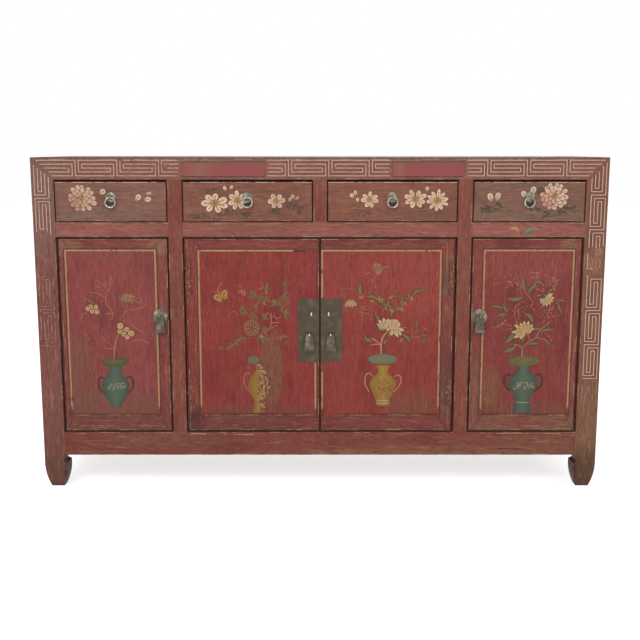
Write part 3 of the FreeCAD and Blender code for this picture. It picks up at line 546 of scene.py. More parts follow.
def stamens(pen, x, z, radius, seed):
    """Spokes and dabs of ochre, olive and red-brown in the heart of a flower."""
    chance = random.Random(seed + 1)
    for index in range(9):
        turn = index * 2 * pi / 9 + seed
        reach = radius * chance.uniform(1.0, 1.7)
        pen.stroke([(x, z), (x + reach * cos(turn), z + reach * 0.75 * sin(turn))], radius * 0.22,
                   (0.300, 0.095, 0.040) if index % 2 else (0.42, 0.25, 0.05), 0.95, steps=1)
    pen.spot(x, z, radius * 0.85, radius * 0.5, (0.120, 0.085, 0.025), (0.29, 0.25, 0.06), 0.97, count=12)
    for dab in ellipse(x, z, radius * 0.62, radius * 0.40, count=5):
        pen.spot(*dab, radius * 0.20, radius * 0.17, YELLOW, YELLOW, count=8)


def peony(pen, x, z, radius, seed, pink_side, shade=1.0):
    """A full peony: rings of small egg-shaped petals, pinker on one side, round a yellow-green heart."""
    keep = 0.95
    edge = (0.240, 0.105, 0.070)
    chance = random.Random(seed)
    pen.spot(x, z, radius * 0.80, radius * 0.76, (0.300, 0.140, 0.095), (0.33, 0.16, 0.11), keep,
             count=20, ripple=0.05, lobes=7)
    rings = ((13, 0.58, 0.42, 0.36), (11, 0.36, 0.40, 0.34), (7, 0.14, 0.34, 0.28))
    for ring, (count, start, length, width) in enumerate(rings):
        for index in range(count):
            turn = 2 * pi * (index + 0.5 * ring + chance.uniform(-0.22, 0.22)) / count
            near_pink = 0.5 + 0.5 * cos(turn - radians(pink_side))
            rim = tuple(c + (p - c) * near_pink ** 3 * 0.75 for c, p in zip(CREAM, PETAL_PINK))
            rim = shifted(rim, shade * chance.uniform(0.82, 1.06))
            heart = tuple((r + p) / 2 for r, p in zip(rim, PETAL_ROOT))
            base = (x + radius * start * cos(turn), z + radius * start * sin(turn) * 0.95)
            reach = radius * length * chance.uniform(0.90, 1.12)
            centre = beyond(*base, turn, reach * 0.6)
            pen.fan(centre, egg_outline(*base, turn, reach * 1.10, radius * width * 1.15), edge, edge, keep)
            pen.fan(centre, egg_outline(*base, turn, reach, radius * width * 0.82), heart, rim, keep)
            line = [beyond(*base, turn, reach * share) for share in (0.10, 0.66)]
            pen.stroke(line, radius * 0.050, (0.38, 0.16, 0.11), keep, steps=1)
    stamens(pen, x + radius * 0.06, z + radius * 0.12, radius * 0.24, seed)


def edged_petals(pen, petals, heart, rim, keep=0.95):
    """Petals with a dark outline and midline, given as root, turn in degrees, length and width."""
    for x, z, turn, length, width in petals:
        turn = radians(turn)
        petal(pen, x, z, turn, length * 1.05, width * 1.25, PETAL_EDGE, PETAL_EDGE, keep, 0.95)
        petal(pen, x, z, turn, length, width * 0.92, heart, rim, keep, 0.95)
        pen.stroke([(x, z), beyond(x, z, turn, length * 0.72)], width * 0.10, PETAL_EDGE, keep, steps=1)


def ray_head(pen, x, z, half_width, half_height, colour, keep):
    """A loose head of thin rays that curl down at their ends."""
    pen.spot(x, z, half_width * 0.34, half_height * 0.34, (0.20, 0.10, 0.05), (0.26, 0.14, 0.07), keep,
             count=14)
    for index in range(26):
        turn = 2 * pi * index / 26
        reach = 1.0 - 0.12 * (index % 3)
        across = half_width * reach * cos(turn)
        above = half_height * reach * sin(turn)
        pen.stroke([(x + across * 0.25, z + above * 0.25), (x + across * 0.72, z + above * 0.85),
                    (x + across * 1.02, z + above * 0.72 - half_height * 0.16)],
                   1.8, shifted(colour, 0.45 + 0.32 * (index % 3)), keep, steps=4)


def scaled_head(pen, x, z, radius, colour, keep):
    """A round flower head of small petals, ring inside ring."""
    pen.spot(x, z, radius, radius, (0.13, 0.05, 0.03), (0.190, 0.070, 0.045), keep * 0.8, count=24,
             ripple=0.04, lobes=9)
    for share, count in ((0.80, 18), (0.56, 13), (0.33, 8), (0.10, 4)):
        for index in range(count):
            turn = 2 * pi * (index + share) / count
            petal(pen, *beyond(x, z, turn, radius * share), turn, radius * 0.25, radius * 0.20, colour,
                  shifted(colour, 0.8), keep, 1.4)


def rose_heart(pen, x, z, radius, ground, line):
    """The closed heart of a rose: turned rings of petals, one inside another."""
    pen.spot(x, z, radius, radius * 0.92, shifted(ground, 0.8), ground, 0.9, count=20, ripple=0.04, lobes=6)
    for ring in range(4):
        reach = radius * (0.92 - 0.24 * ring)
        for start in (0.3, 2.4, 4.4):
            arc = [(x + reach * cos(start + ring + step * 0.4),
                    z + reach * 0.92 * sin(start + ring + step * 0.4)) for step in range(5)]
            pen.stroke(arc, 1.5, shifted(line, 1.0 - 0.08 * ring), 0.95, steps=2)


def vase(pen, x, z, profile, dark, light):
    """A painted vase. Its profile gives half widths at heights, and its middle is lighter."""
    columns = (-1.0, -0.82, -0.4, 0.0, 0.4, 0.82, 1.0)
    shades = []
    for column in columns:
        share = 1 - abs(column) ** 1.5
        shades.append((*(d + (l - d) * share for d, l in zip(dark, light)), 1.0))
    rows = [[(x + half * column, z + height) for column in columns] for half, height in spline(profile, 5)]
    pen.grid(rows[::-1], [shades] * len(rows))


def vase_mouth(pen, x, z, half_width, half_height, rim, inside, keep=1.0):
    """The open mouth of a painted vase, as a rim round a darker hollow."""
    pen.spot(x, z, half_width, half_height, rim, shifted(rim, 0.75), keep, count=28)
    pen.spot(x, z, half_width * 0.72, half_height * 0.62, inside, shifted(inside, 0.8), keep, count=24)


def curls(pen, x, z, half_width, half_height, colour, seed):
    """Two rows of small cloud curls on a vase."""
    chance = random.Random(seed)
    for row, count in ((0.42, 4), (-0.42, 5)):
        for index in range(count):
            cx = x + half_width * (0.70 if row > 0 else 0.90) * (2 * index / (count - 1) - 1)
            cz = z + half_height * (row + chance.uniform(-0.10, 0.10))
            start = chance.uniform(0, 6.28)
            points = [beyond(cx, cz, start + turn, half_height * 0.46 * grow)
                      for turn, grow in ((0.0, 1.0), (1.4, 0.9), (2.8, 0.75), (4.2, 0.5))]
            pen.stroke(points, 1.8, shifted(colour, chance.uniform(0.8, 1.15)), steps=3)


def squiggles(pen, x, z, spread_x, spread_z, count, width, colour, seed, keep=1.0):
    """Short curved touches of the brush, strewn round a place."""
    chance = random.Random(seed)
    for _ in range(count):
        px = x + spread_x * chance.uniform(-1, 1)
        pz = z + spread_z * chance.uniform(-1, 1)
        turn = chance.uniform(0, 6.28)
        reach = chance.uniform(2.2, 4.2)
        pen.stroke([(px, pz), beyond(px, pz, turn, reach), beyond(px, pz, turn + 0.9, reach * 1.4)],
                   width, colour, keep, steps=3)


def butterfly(pen, x, z, span, turn, wing, keep=0.85):
    """Two pairs of wings, a body and two feelers. The turn is in degrees."""
    turn = radians(turn)
    for side, size, spread in ((-1, 1.0, 1.05), (1, 1.0, 1.05), (-1, 0.65, 2.0), (1, 0.65, 2.0)):
        angle = turn + side * spread
        petal(pen, x, z, angle, span * size, span * 0.72 * size, OCHRE_DARK, wing, keep, 1.3)
        vein = [beyond(x, z, angle, span * share * size) for share in (0.25, 0.7)]
        pen.stroke(vein, span * 0.09, DARK_LEAF, keep, steps=1)
    for lean in (-0.22, 0.22):
        feeler = [(x, z), beyond(x, z, turn + lean, span * 0.7), beyond(x, z, turn + lean * 2, span * 1.2)]
        pen.stroke(feeler, span * 0.06, PINK_LINE, keep, steps=4)
    middle = [beyond(x, z, turn, span * share) for share in (-0.5, 0.3)]
    pen.stroke(middle, span * 0.16, DARK_LEAF, keep, steps=1)


def sprinkle(pen, x, z, spread_x, spread_z, count, size, colour, seed, keep=1.0):
    """Loose dabs of paint round a place."""
    chance = random.Random(seed)
    for _ in range(count):
        px = x + chance.gauss(0, spread_x)
        pz = z + chance.gauss(0, spread_z)
        radius = size * chance.uniform(0.5, 1.2)
        pen.spot(px, pz, radius, radius * 0.8, colour, colour, keep, chance.uniform(0, 3), 7)


def sprinkles(pen, places, size, colour):
    """Loose dabs round places that are given with their spreads and count."""
    for x, z, spread_x, spread_z, count in places:
        sprinkle(pen, x, z, spread_x, spread_z, count, size, colour, count + x, 0.62)


def paint_twigs(pen, twigs, width, colour, keep, taper=0.4):
    for points in twigs:
        pen.stroke(points, width, colour, keep, taper)


def edge_line(pen, start, end, width, colour=RUBBED, keep=0.5, swing=0.2):
    """A rubbed or soiled line along an edge, in pieces that wear unevenly.

    Its ends are in millimetres in the cabinet's own frame.
    """
    (x0, z0), (x1, z1) = start, end
    pieces = max(1, int(hypot(x1 - x0, z1 - z0) / 45))
    middle = pen.middle / MM
    low = pen.low / MM
    for index in range(pieces):
        level = keep + swing * sin(index * 2.3 + x0 * 0.7 + z0)
        ends = [(x0 + (x1 - x0) * share - middle, z0 + (z1 - z0) * share - low)
                for share in (index / pieces, (index + 1) / pieces)]
        pen.line(ends, width, colour, max(0.0, min(1.0, level)))


def edge_frame(pen, box, inset, width, colour, keep, swing=0.2, sides="lrbt"):
    """Edge lines inside a rectangle, given as left, right, bottom and top."""
    left, right, bottom, top = box[0] + inset, box[1] - inset, box[2] + inset, box[3] - inset
    lines = {"l": ((left, bottom), (left, top)), "r": ((right, bottom), (right, top)),
             "b": ((left, bottom), (right, bottom)), "t": ((left, top), (right, top))}
    for side in sides:
        edge_line(pen, *lines[side], width, colour, keep, swing)


def draw_drawer_1(pen):
    leaf_clusters(pen, 0.36, ((-46, 26, 12, 6), (-70, 22, 12, 4), (-10, 36, 7, 4), (-104, 30, 9, 4),
        (88, 38, 12, 5)))
    peony(pen, -80, 64, 37, 11, 215.0, 0.84)
    loose_petals(pen, ((-47, 51, 18, 13, 345, 0.90), (-60, 38, 16, 12, 310, 0.90),
        (-22, 81, 19, 16, 20, 0.86), (75, 65, 21, 15, 50, 0.86), (101, 60.5, 21, 14, 10, 0.88),
        (105, 77, 17, 9, 10, 0.66)))


def draw_drawer_2(pen):
    leaf_clusters(pen, 0.55, ((-104, 86, 6, 4), (-56, 27, 11, 10), (-86, 18, 9, 5), (-134, 18, 9, 6),
        (-12, 27, 9, 7), (3, 19, 8, 4), (73, 29, 7, 6), (121, 50, 9, 6), (141, 38, 8, 6)))
    paint_twigs(pen, (((22, 69), (40, 69), (57, 61)),), 1.6, DARK_LEAF, 0.6)
    blossom(pen, -90, 50, 39, 7, 5.9, squash=0.70)
    loose_petals(pen, ((-61, 90, 15, 9, 110, 0.96), (-44, 93, 14, 8, 60, 0.90), (117, 61, 14, 9, 60, 0.66),
        (125, 68, 13, 9, 110, 0.70), (136, 64, 14, 8, 40, 0.56)))
    blossom(pen, -27, 58, 29, 7, 8, squash=0.90)
    blossom(pen, 79, 56, 25, 6, 4.2, squash=0.86, shade=0.86)


def draw_drawer_3(pen):
    leaf_clusters(pen, 0.44, ((-72, 31, 12, 8), (-92, 34, 8, 5), (88, 24, 12, 8), (80, 35, 7, 4),
        (106, 17, 9, 5), (128, 24, 9, 4)))
    loose_petals(pen, ((-111, 70, 15, 11, 120, 0.96), (-102, 78, 14, 9, 110, 0.96),
        (-96, 59, 13, 9, 100, 0.92), (94, 89, 13, 10, 70, 0.94)))
    blossom(pen, -63, 60, 25, 7, 6, squash=0.88, shade=0.98)
    blossom(pen, 63, 62, 32, 8, 2, squash=0.83, shade=0.98)
    blossom(pen, 123, 58, 32, 10, 9, squash=0.96)


def draw_drawer_4(pen):
    leaf_clusters(pen, 0.62, ((-120, 36, 8, 7), (-104, 38, 8, 6), (-88, 46, 7, 4), (29, 90, 5, 5),
        (26, 80, 4, 3), (109, 40, 8, 6), (83, 30, 7, 4), (56, 24, 10, 5), (14, 36, 8, 5)))
    pen.stroke(((48, 15), (66, 18), (96, 17)), 3.0, DARK_LEAF, 0.5)
    loose_petals(pen, ((-107, 66, 24, 16, 105, 0.90), (-87, 68, 24, 15, 75, 0.84),
        (-15, 74, 21, 15, 120, 0.90), (9, 84, 25, 16, 70, 0.84)))
    peony(pen, 68, 69, 38, 21, 220.0)


def draw_left_door(pen):
    paint_twigs(pen, (((-44, 395), (-27, 381), (-18, 376)), ((2, 405), (-4, 383), (-10, 359)), ((-17, 390),
        (-17, 372), (-10, 358), (-17, 341), (-17, 325), (-2, 305), (-1, 297)), ((-61, 356), (-42, 355),
        (-30, 349), (-21, 341), (-18, 329)), ((-20, 298), (-1, 297), (9, 298)), ((-1, 297), (-2, 284),
        (-11, 278)), ((-90, 348), (-74, 339), (-50, 326)), ((-76, 300), (-86, 288), (-90, 277)), ((97, 323),
        (75, 312), (43, 307), (32, 293), (32, 273)), ((54, 220), (75, 222), (100, 212)), ((-3, 193),
        (-13, 198), (-29, 198)), ((-4, 200), (-13, 213), (-25, 222), (-35, 238)), ((79, 341), (82, 334),
        (77, 321)), ((49, 277), (59, 259), (80, 245))), 1.7, TWIG, 0.60)
    paint_twigs(pen, (((-1, 166), (1, 193), (5, 213), (10, 231), (17, 245)),), 2.8, TWIG, 0.85)
    sprinkles(pen, ((-24, 372, 16, 12, 20), (-42, 338, 20, 12, 20), (20, 318, 14, 16, 16),
        (66, 320, 16, 12, 18), (76, 232, 16, 10, 12), (-54, 232, 16, 22, 30), (-84, 290, 8, 14, 12)),
        1.3, TWIG)
    ray_head(pen, 44, 342, 25, 16.5, (0.430, 0.255, 0.120), 0.86)
    paint_twigs(pen, (((28, 336), (30, 322), (38, 312)), ((38, 332), (42, 318), (50, 312)), ((58, 334),
        (70, 330), (80, 326))), 1.4, (0.420, 0.250, 0.115), 0.6)
    berries(pen, ((-52, 309, 6.0), (-57, 303, 6.8), (-61, 317, 7.0), (-46, 316, 6.8), (-69, 311, 7.2),
        (-43, 302, 7.2), (28, 248, 8.0), (19, 246, 7.6), (30, 238, 7.4), (39, 231, 7.4), (38, 252, 8.0),
        (20, 262, 9.6), (50, 241, 9.6)))
    paint_twigs(pen, (((-30, 112), (-42, 114), (-48, 100), (-45, 82), (-35, 68)), ((32, 112), (45, 116),
        (52, 98), (47, 80), (36, 68))), 5.0, (0.070, 0.038, 0.032), 0.84, 0.2)
    vase(pen, 1, 26, ((8, 0), (15, 8), (24, 24), (34, 42), (38, 60), (38, 72), (31, 84), (22, 93),
        (17.5, 104), (18, 118), (25, 124)), VASE_DARK, VASE_GREEN)
    sprinkle(pen, 2, 88, 13, 24, 34, 3.0, (0.095, 0.105, 0.066), 31)
    vase_mouth(pen, 2, 159, 39, 13, (0.085, 0.118, 0.055), (0.120, 0.122, 0.052))
    sprinkle(pen, 2, 159, 14, 4, 14, 2.2, (0.150, 0.105, 0.050), 32)
    curls(pen, 4, 90, 24, 11, (0.400, 0.350, 0.230), 3)
    pen.stroke(((-1, 158), (-1.5, 172)), 3.2, OCHRE, 0.9, steps=1)


def draw_centre_left_door(pen):
    butterfly(pen, -87, 343, 24, 118, YELLOW)
    paint_twigs(pen, (((36, 233), (33, 247), (48, 255), (66, 265)), ((48, 255), (50, 279), (51, 300)),
        ((50, 270), (63, 272), (74, 272)), ((40, 302), (46, 293), (50, 285)), ((61, 299), (53, 285)),
        ((-43, 356), (-34, 362), (-25, 348)), ((-26, 367), (-22, 346)), ((-38, 378), (-30, 364), (-34, 353)),
        ((19, 388), (29, 374), (14, 364)), ((-86, 387), (-98, 364), (-88, 346)), ((60, 290), (66, 282),
        (78, 290))), 2.2, (0.500, 0.200, 0.155), 0.68)
    paint_twigs(pen, (((-71, 283), (-63, 299), (-50, 303), (-42, 286), (-41, 268)), ((-48, 300), (-40, 290))),
        2.4, (0.300, 0.120, 0.095), 0.6)
    paint_twigs(pen, (((-2, 314), (14, 325), (30, 336)), ((30, 336), (34, 350), (34, 367)), ((33, 337),
        (49, 332), (63, 328)), ((-21, 304), (-11, 290), (-4, 275)), ((20, 243), (3, 229), (-34, 224),
        (-61, 206)), ((84, 345), (88, 362), (90, 378)), ((6, 270), (8, 292), (4, 312))), 2.2, STEM, 0.72)
    paint_sprays(pen, ((-10, 362, 320, 26), (8, 348, 200, 22), (34, 360, 80, 24), (26, 352, 250, 26),
        (30, 346, 320, 20), (52, 336, 320, 28), (66, 330, 200, 22), (91, 372, 80, 24), (90, 362, 280, 20),
        (92, 344, 250, 18), (-38, 318, 320, 26), (-16, 304, 200, 20), (2, 308, 70, 24), (8, 296, 240, 22),
        (76, 318, 300, 22), (86, 302, 300, 24), (26, 280, 50, 28), (38, 262, 230, 24), (20, 240, 280, 28),
        (28, 234, 330, 20), (-24, 230, 200, 24), (-40, 222, 220, 24), (-54, 212, 215, 26),
        (-4, 286, 100, 18)), (0.158, 0.108, 0.046), 0.80)
    paint_sprays(pen, ((-4, 354, 340, 14), (34, 352, 60, 14), (28, 334, 300, 14), (6, 300, 60, 13),
        (88, 296, 60, 14), (22, 226, 80, 14), (60, 326, 100, 13), (-46, 216, 40, 12)), (0.270, 0.195, 0.070),
        0.56)
    paint_sprays(pen, ((74, 236, 340, 22), (84, 230, 200, 20), (90, 224, 290, 18)), (0.230, 0.120, 0.055),
        0.6)
    leaf(pen, -84, 196, 160, 20, 9, (0.170, 0.120, 0.095), 0.55)
    leaf(pen, -96, 192, 60, 14, 7, (0.150, 0.105, 0.085), 0.45)
    scaled_head(pen, -5, 256, 22.5, (0.370, 0.190, 0.095), 0.88)
    scaled_head(pen, 84, 332, 15.5, (0.330, 0.150, 0.080), 0.70)
    for x, z in ((-52, 262), (70, 228)):
        sprinkle(pen, x, z - 40, 22, 12, 16, 1.8, (0.200, 0.080, 0.055), 9 + x, 0.45)
    pen.stroke(((-10, 122), (-19, 128), (-28, 117), (-27, 96), (-14, 74)), 3.0, (0.400, 0.190, 0.100), 0.8)
    outline = spline(((20, 0), (17, 16), (14.5, 28), (16.5, 40), (27, 60), (31, 78), (27, 100), (12, 119),
                      (8, 132), (10, 141)), 5)
    rows = [[(15 - half, 11 + height), (15 - half * 0.3, 11 + height)] for half, height in outline]
    pen.grid(rows[::-1], [[(*shifted(OCHRE_DARK, 0.9), 0.9), (*shifted(OCHRE, 0.85), 0.85)]] * len(rows))
    rows = [[(15 - half * 0.3, 11 + height), (15 + half, 11 + height)] for half, height in outline]
    pen.grid(rows[::-1], [[(0.280, 0.155, 0.048, 0.85), (0.170, 0.075, 0.045, 0.55)]] * len(rows))
    for height, half in ((22, 16), (44, 18), (66, 28), (88, 30), (110, 20), (130, 9)):
        across = 14 + half * 0.46
        squiggles(pen, across, 11 + height, half * 0.5, 11, 14, 2.4, (0.110, 0.045, 0.030), height, 0.95)
        squiggles(pen, across, 11 + height, half * 0.5, 11, 18, 1.7, (0.500, 0.330, 0.145), height + 1)
    vase_mouth(pen, -1, 165, 17, 11, (0.160, 0.190, 0.112), (0.170, 0.155, 0.100), 0.9)
    sprinkle(pen, -1, 165, 6, 4, 12, 2.0, (0.190, 0.130, 0.080), 33)


def draw_centre_right_door(pen):
    butterfly(pen, -22, 425, 19, 200, (0.300, 0.200, 0.115), 0.78)
    leaf(pen, -20, 426, 8, 28, 8, (0.200, 0.125, 0.075), 0.72)
    paint_twigs(pen, (((-62, 406), (-55, 410), (-47, 414)), ((-34, 380), (-30, 368)), ((-29, 311),
        (-31, 292)), ((58, 232), (80, 230), (103, 232)), ((-44, 396), (-38, 384)), ((104, 256), (114, 250))),
        1.8, (0.480, 0.210, 0.150), 0.6)
    paint_twigs(pen, (((16, 289), (12, 304), (-3, 322), (-30, 339), (-55, 345), (-72, 351)), ((18, 292),
        (41, 322), (63, 341), (85, 360)), ((84, 268), (86, 250), (84, 240)), ((40, 254), (60, 244),
        (82, 240))), 2.0, STEM, 0.65)
    paint_leaves(pen, ((-73, 351, 91, 28, 13, 0.1), (-55, 344, 357, 26, 10, 0.1), (-41, 341, 344, 31, 9, 0.1),
        (-26, 338, 333, 22, 10, -0.1), (-11, 322, 341, 26, 11, 0.1), (4, 319, 81, 17, 7, 0.1),
        (10, 290, 51, 20, 10, 0.1), (26, 306, 22, 22, 9, 0.1), (27, 311, 57, 13, 7, 0.0),
        (37, 325, 49, 22, 10, 0.1), (43, 330, 95, 19, 7, 0.0), (55, 337, 28, 21, 9, 0.1),
        (62, 341, 100, 14, 7, 0.0), (77, 350, 58, 19, 9, 0.1), (82, 356, 18, 27, 6, 0.1),
        (15, 350, 335, 16, 8, 0.0), (19, 353, 76, 12, 5, 0.0), (-18, 274, 114, 22, 9, 0.1),
        (-3, 249, 171, 23, 8, 0.0), (7, 231, 68, 21, 10, 0.1), (37, 257, 2, 21, 7, 0.0),
        (43, 237, 313, 32, 11, 0.2), (83, 260, 74, 18, 7, 0.1), (81, 242, 63, 14, 8, 0.0),
        (95, 237, 353, 21, 6, 0.0), (101, 209, 67, 20, 5, 0.1), (-43, 222, 166, 17, 13, 0.1),
        (-5, 209, 67, 15, 10, 0.1), (-117, 345, 86, 19, 5, 0.0), (-130, 349, 346, 15, 4, 0.0)),
        (0.150, 0.110, 0.044), 0.90)
    paint_sprays(pen, ((-66, 340, 130, 16), (-34, 334, 200, 14), (-14, 330, 120, 18), (0, 316, 230, 14),
        (16, 300, 120, 15), (32, 314, 320, 16), (50, 332, 250, 15), (70, 346, 260, 16), (18, 346, 200, 12),
        (-36, 214, 120, 16), (48, 226, 220, 14)), (0.300, 0.205, 0.080), 0.60)
    sprinkle(pen, -100, 330, 16, 9, 40, 2.4, (0.140, 0.062, 0.034), 9, 0.55)
    edged_petals(pen, [(-100, 321, turn, 18, 4.4) for turn in (2, 24, 46, 72, 98, 122, 146, 168, 186)],
        (0.380, 0.190, 0.100), (0.610, 0.440, 0.280), 0.88)
    edged_petals(pen, [(-100, 324, turn, 10, 5) for turn in (215, 245, 295, 325)], (0.420, 0.220, 0.120),
        (0.560, 0.390, 0.230), 0.7)
    sprinkle(pen, -88, 303, 22, 9, 90, 2.4, (0.290, 0.125, 0.062), 8, 0.55)
    paint_twigs(pen, (((-76, 312), (-62, 318), (-48, 320)), ((-70, 306), (-56, 310), (-38, 308)), ((-84, 296),
        (-70, 300), (-54, 298)), ((-108, 300), (-98, 292), (-86, 290)), ((-128, 366), (-110, 368),
        (-84, 364)), ((-60, 236), (-58, 222)), ((-26, 352), (-20, 366), (-24, 378))), 1.5,
        (0.440, 0.190, 0.130), 0.5)
    edged_petals(pen, ((1, 258, 180, 24, 12), (1, 258, 160, 30, 13), (1, 258, 140, 32, 13),
        (1, 258, 112, 29, 13), (1, 258, 80, 26, 12), (1, 258, 300, 12, 10)), (0.480, 0.290, 0.140),
        (0.640, 0.470, 0.270))
    edged_petals(pen, ((27, 254, 349, 23, 11), (24, 251, 322, 24, 11), (22, 251, 298, 23, 11),
        (16, 251, 262, 17, 11)), (0.500, 0.300, 0.150), (0.650, 0.480, 0.280))
    rose_heart(pen, 21, 266, 17, (0.620, 0.430, 0.260), (0.300, 0.130, 0.080))
    for points, width, keep in ((((-12, 166), (-15, 200), (-13, 220), (-8, 234), (3, 246)), 5.2, 0.95),
                                (((-15, 206), (-28, 219), (-41, 227)), 3.4, 0.9),
                                (((-18, 209), (-32, 210), (-43, 207)), 3.0, 0.85)):
        pen.stroke(points, width, (0.470, 0.215, 0.135), keep, 0.4)
    paint_twigs(pen, (((-37, 117), (-48, 127), (-58, 117), (-58, 93), (-47, 72)), ((23, 116), (34, 121),
        (43, 113), (39, 93), (23, 72))), 3.4, (0.440, 0.225, 0.120), 0.95, 0.3)
    vase(pen, -8.5, 32, ((19, 0), (19.5, 10), (21, 20), (28, 36), (36.5, 56), (37, 70), (28, 83), (15.5, 94),
        (14.5, 105), (22, 117)), OCHRE_DARK, OCHRE)
    sprinkle(pen, -8, 86, 13, 22, 60, 1.8, shifted(OCHRE_DARK, 0.9), 3)
    squiggles(pen, -8, 80, 20, 24, 30, 1.4, (0.200, 0.100, 0.036), 5)
    vase_mouth(pen, -10, 167, 41, 14.5, (0.165, 0.225, 0.125), (0.200, 0.205, 0.112))
    sprinkle(pen, -10, 167, 15, 4, 26, 2.6, (0.180, 0.160, 0.090), 34)
    curls(pen, -1, 82, 22, 10, (0.260, 0.060, 0.040), 7)
    for height in (40, 47):
        pen.stroke(((-27, height), (-8, height - 1), (10, height)), 1.6, (0.520, 0.430, 0.280), 0.8)


def draw_right_door(pen):
    paint_twigs(pen, (((-35, 321), (-35, 288)), ((-26, 312), (-22, 273)), ((16, 326), (9, 319), (21, 305)),
        ((63, 319), (59, 295)), ((2, 407), (7, 413), (19, 411), (35, 416)), ((67, 386), (87, 393)),
        ((74, 378), (83, 381)), ((-56, 390), (-48, 383), (-52, 374)), ((24, 367), (39, 362), (42, 355)),
        ((-30, 319), (-16, 331), (-6, 329)), ((-32, 288), (-28, 270), (-21, 259)), ((56, 307), (69, 309),
        (72, 319)), ((-40, 392), (-36, 400)), ((-10, 360), (1, 347), (15, 330)), ((-58, 262), (-50, 270)),
        ((-86, 258), (-74, 266), (-62, 270))), 1.6, (0.480, 0.215, 0.160), 0.66)
    paint_leaves(pen, ((-8, 359, 99, 39, 12, 0.1), (0, 353, 48, 37, 10, 0.1), (12, 382, 344, 32, 10, 0.3),
        (-13, 344, 185, 45, 13, 0.1), (-69, 311, 170, 33, 8, -0.1), (-53, 300, 119, 29, 8, 0.1),
        (-56, 295, 194, 32, 9, -0.1), (15, 271, 133, 35, 13, -0.2), (13, 248, 10, 29, 8, 0.1),
        (38, 244, 9, 42, 9, 0.1), (-35, 244, 230, 38, 15, 0.1), (-7, 242, 260, 27, 10, 0.0),
        (-27, 205, 203, 41, 12, 0.1), (2, 208, 3, 36, 9, 0.1), (50, 227, 316, 25, 7, -0.1),
        (75, 334, 352, 32, 6, 0.1), (87, 331, 286, 35, 7, -0.1), (55, 353, 43, 24, 7, 0.1),
        (36, 350, 193, 13, 8, 0.0), (18, 249, 126, 12, 6, 0.0)), (0.150, 0.106, 0.055), 0.80)
    leaf(pen, 30, 304, 40, 28, 10, (0.190, 0.110, 0.050), 0.5)
    sprinkles(pen, ((-42, 384, 15, 11, 44), (62, 384, 15, 12, 34), (56, 296, 12, 14, 34),
        (20, 402, 15, 9, 26), (-24, 300, 12, 22, 36), (-58, 262, 18, 12, 24), (74, 236, 12, 16, 24),
        (36, 372, 12, 10, 22)), 1.5, (0.520, 0.290, 0.220))
    side_on = ((205, 18), (232, 20), (358, 25), (334, 24), (307, 25), (282, 25), (258, 23), (32, 24))
    edged_petals(pen, [(49, 342, turn, length, 9.5) for turn, length in side_on], (0.450, 0.270, 0.100),
        (0.660, 0.500, 0.260))
    edged_petals(pen, [(49, 342, turn, 15, 7.5) for turn in (245, 270, 295, 320)], (0.420, 0.240, 0.090),
        (0.600, 0.440, 0.220))
    leaf(pen, 45, 340, 80, 15, 9, VASE_GREEN, 0.85)
    leaf(pen, 48, 346, 200, 16, 7, VASE_DARK, 0.75)
    outer = ((25, 27), (46, 30), (73, 33), (98, 32), (121, 31), (146, 38), (180, 39), (207, 37), (234, 25),
             (5, 17))
    edged_petals(pen, [(-4, 245, turn, length, 11.0) for turn, length in outer], (0.440, 0.260, 0.095),
        (0.640, 0.450, 0.210))
    inner = ((36, 20), (62, 22), (86, 23), (110, 22), (134, 24), (163, 26), (193, 26))
    edged_petals(pen, [(-5, 244, turn, length, 8.5) for turn, length in inner], (0.410, 0.230, 0.080),
        (0.620, 0.440, 0.200))
    for points, width, keep in ((((-10, 162), (-11, 182), (-11, 198)), 4.4, 0.95),
                                (((-11, 198), (6, 216), (26, 229), (36, 248), (63, 272)), 2.6, 0.9),
                                (((-11, 198), (-24, 208), (-35, 208)), 2.8, 0.9),
                                (((11, 221), (6, 233), (2, 242)), 2.8, 0.85),
                                (((26, 229), (47, 225), (57, 219)), 2.0, 0.8)):
        pen.stroke(points, width, (0.360, 0.200, 0.115), keep, 0.4)
    paint_twigs(pen, (((-36, 119), (-53, 122), (-59, 106), (-52, 84), (-38, 76)), ((29, 119), (41, 124),
        (49, 108), (44, 87), (28, 74))), 5.2, (0.070, 0.036, 0.030), 0.86, 0.2)
    vase(pen, -5, 13, ((25, 0), (24, 14), (20, 34), (26, 52), (38, 70), (41, 87), (35, 101), (18, 118),
        (18, 132), (24, 138)), VASE_DARK, VASE_GREEN)
    sprinkle(pen, -4, 88, 14, 26, 36, 3.0, (0.095, 0.100, 0.064), 35)
    vase_mouth(pen, -4, 162, 45, 13.5, (0.150, 0.168, 0.066), (0.155, 0.138, 0.054))
    sprinkle(pen, -4, 162, 15, 4, 24, 2.4, (0.210, 0.140, 0.060), 36)
    curls(pen, -3, 91, 27, 13, (0.430, 0.375, 0.250), 12)
    pen.stroke(((-26, 43), (-6, 41), (14, 42)), 2.6, (0.330, 0.290, 0.190), 0.8)


def fret_points(units, pitch, band, gap):
    """The corners of a running key fret: one unbroken line of rectangular scrolls."""
    level = [band * index / 4 for index in range(5)]
    points = [(0.0, level[0])]
    for unit in range(units):
        left, right = unit * pitch + gap, (unit + 1) * pitch
        points += [(right - gap, level[0]), (right - gap, level[3]), (left + gap, level[3]),
                   (left + gap, level[2]), (right - 2 * gap, level[2]), (right - 2 * gap, level[1]),
                   (left, level[1]), (left, level[4]), (right, level[4]), (right, level[0])]
    return points


def stretches(flags):
    """Where the unbroken runs of two or more true values start and end."""
    found = []
    start = None
    for index, flag in enumerate([*flags, False]):
        if flag and start is None:
            start = index
        if not flag and start is not None:
            if index - start >= 2:
                found.append((start, index))
            start = None
    return found


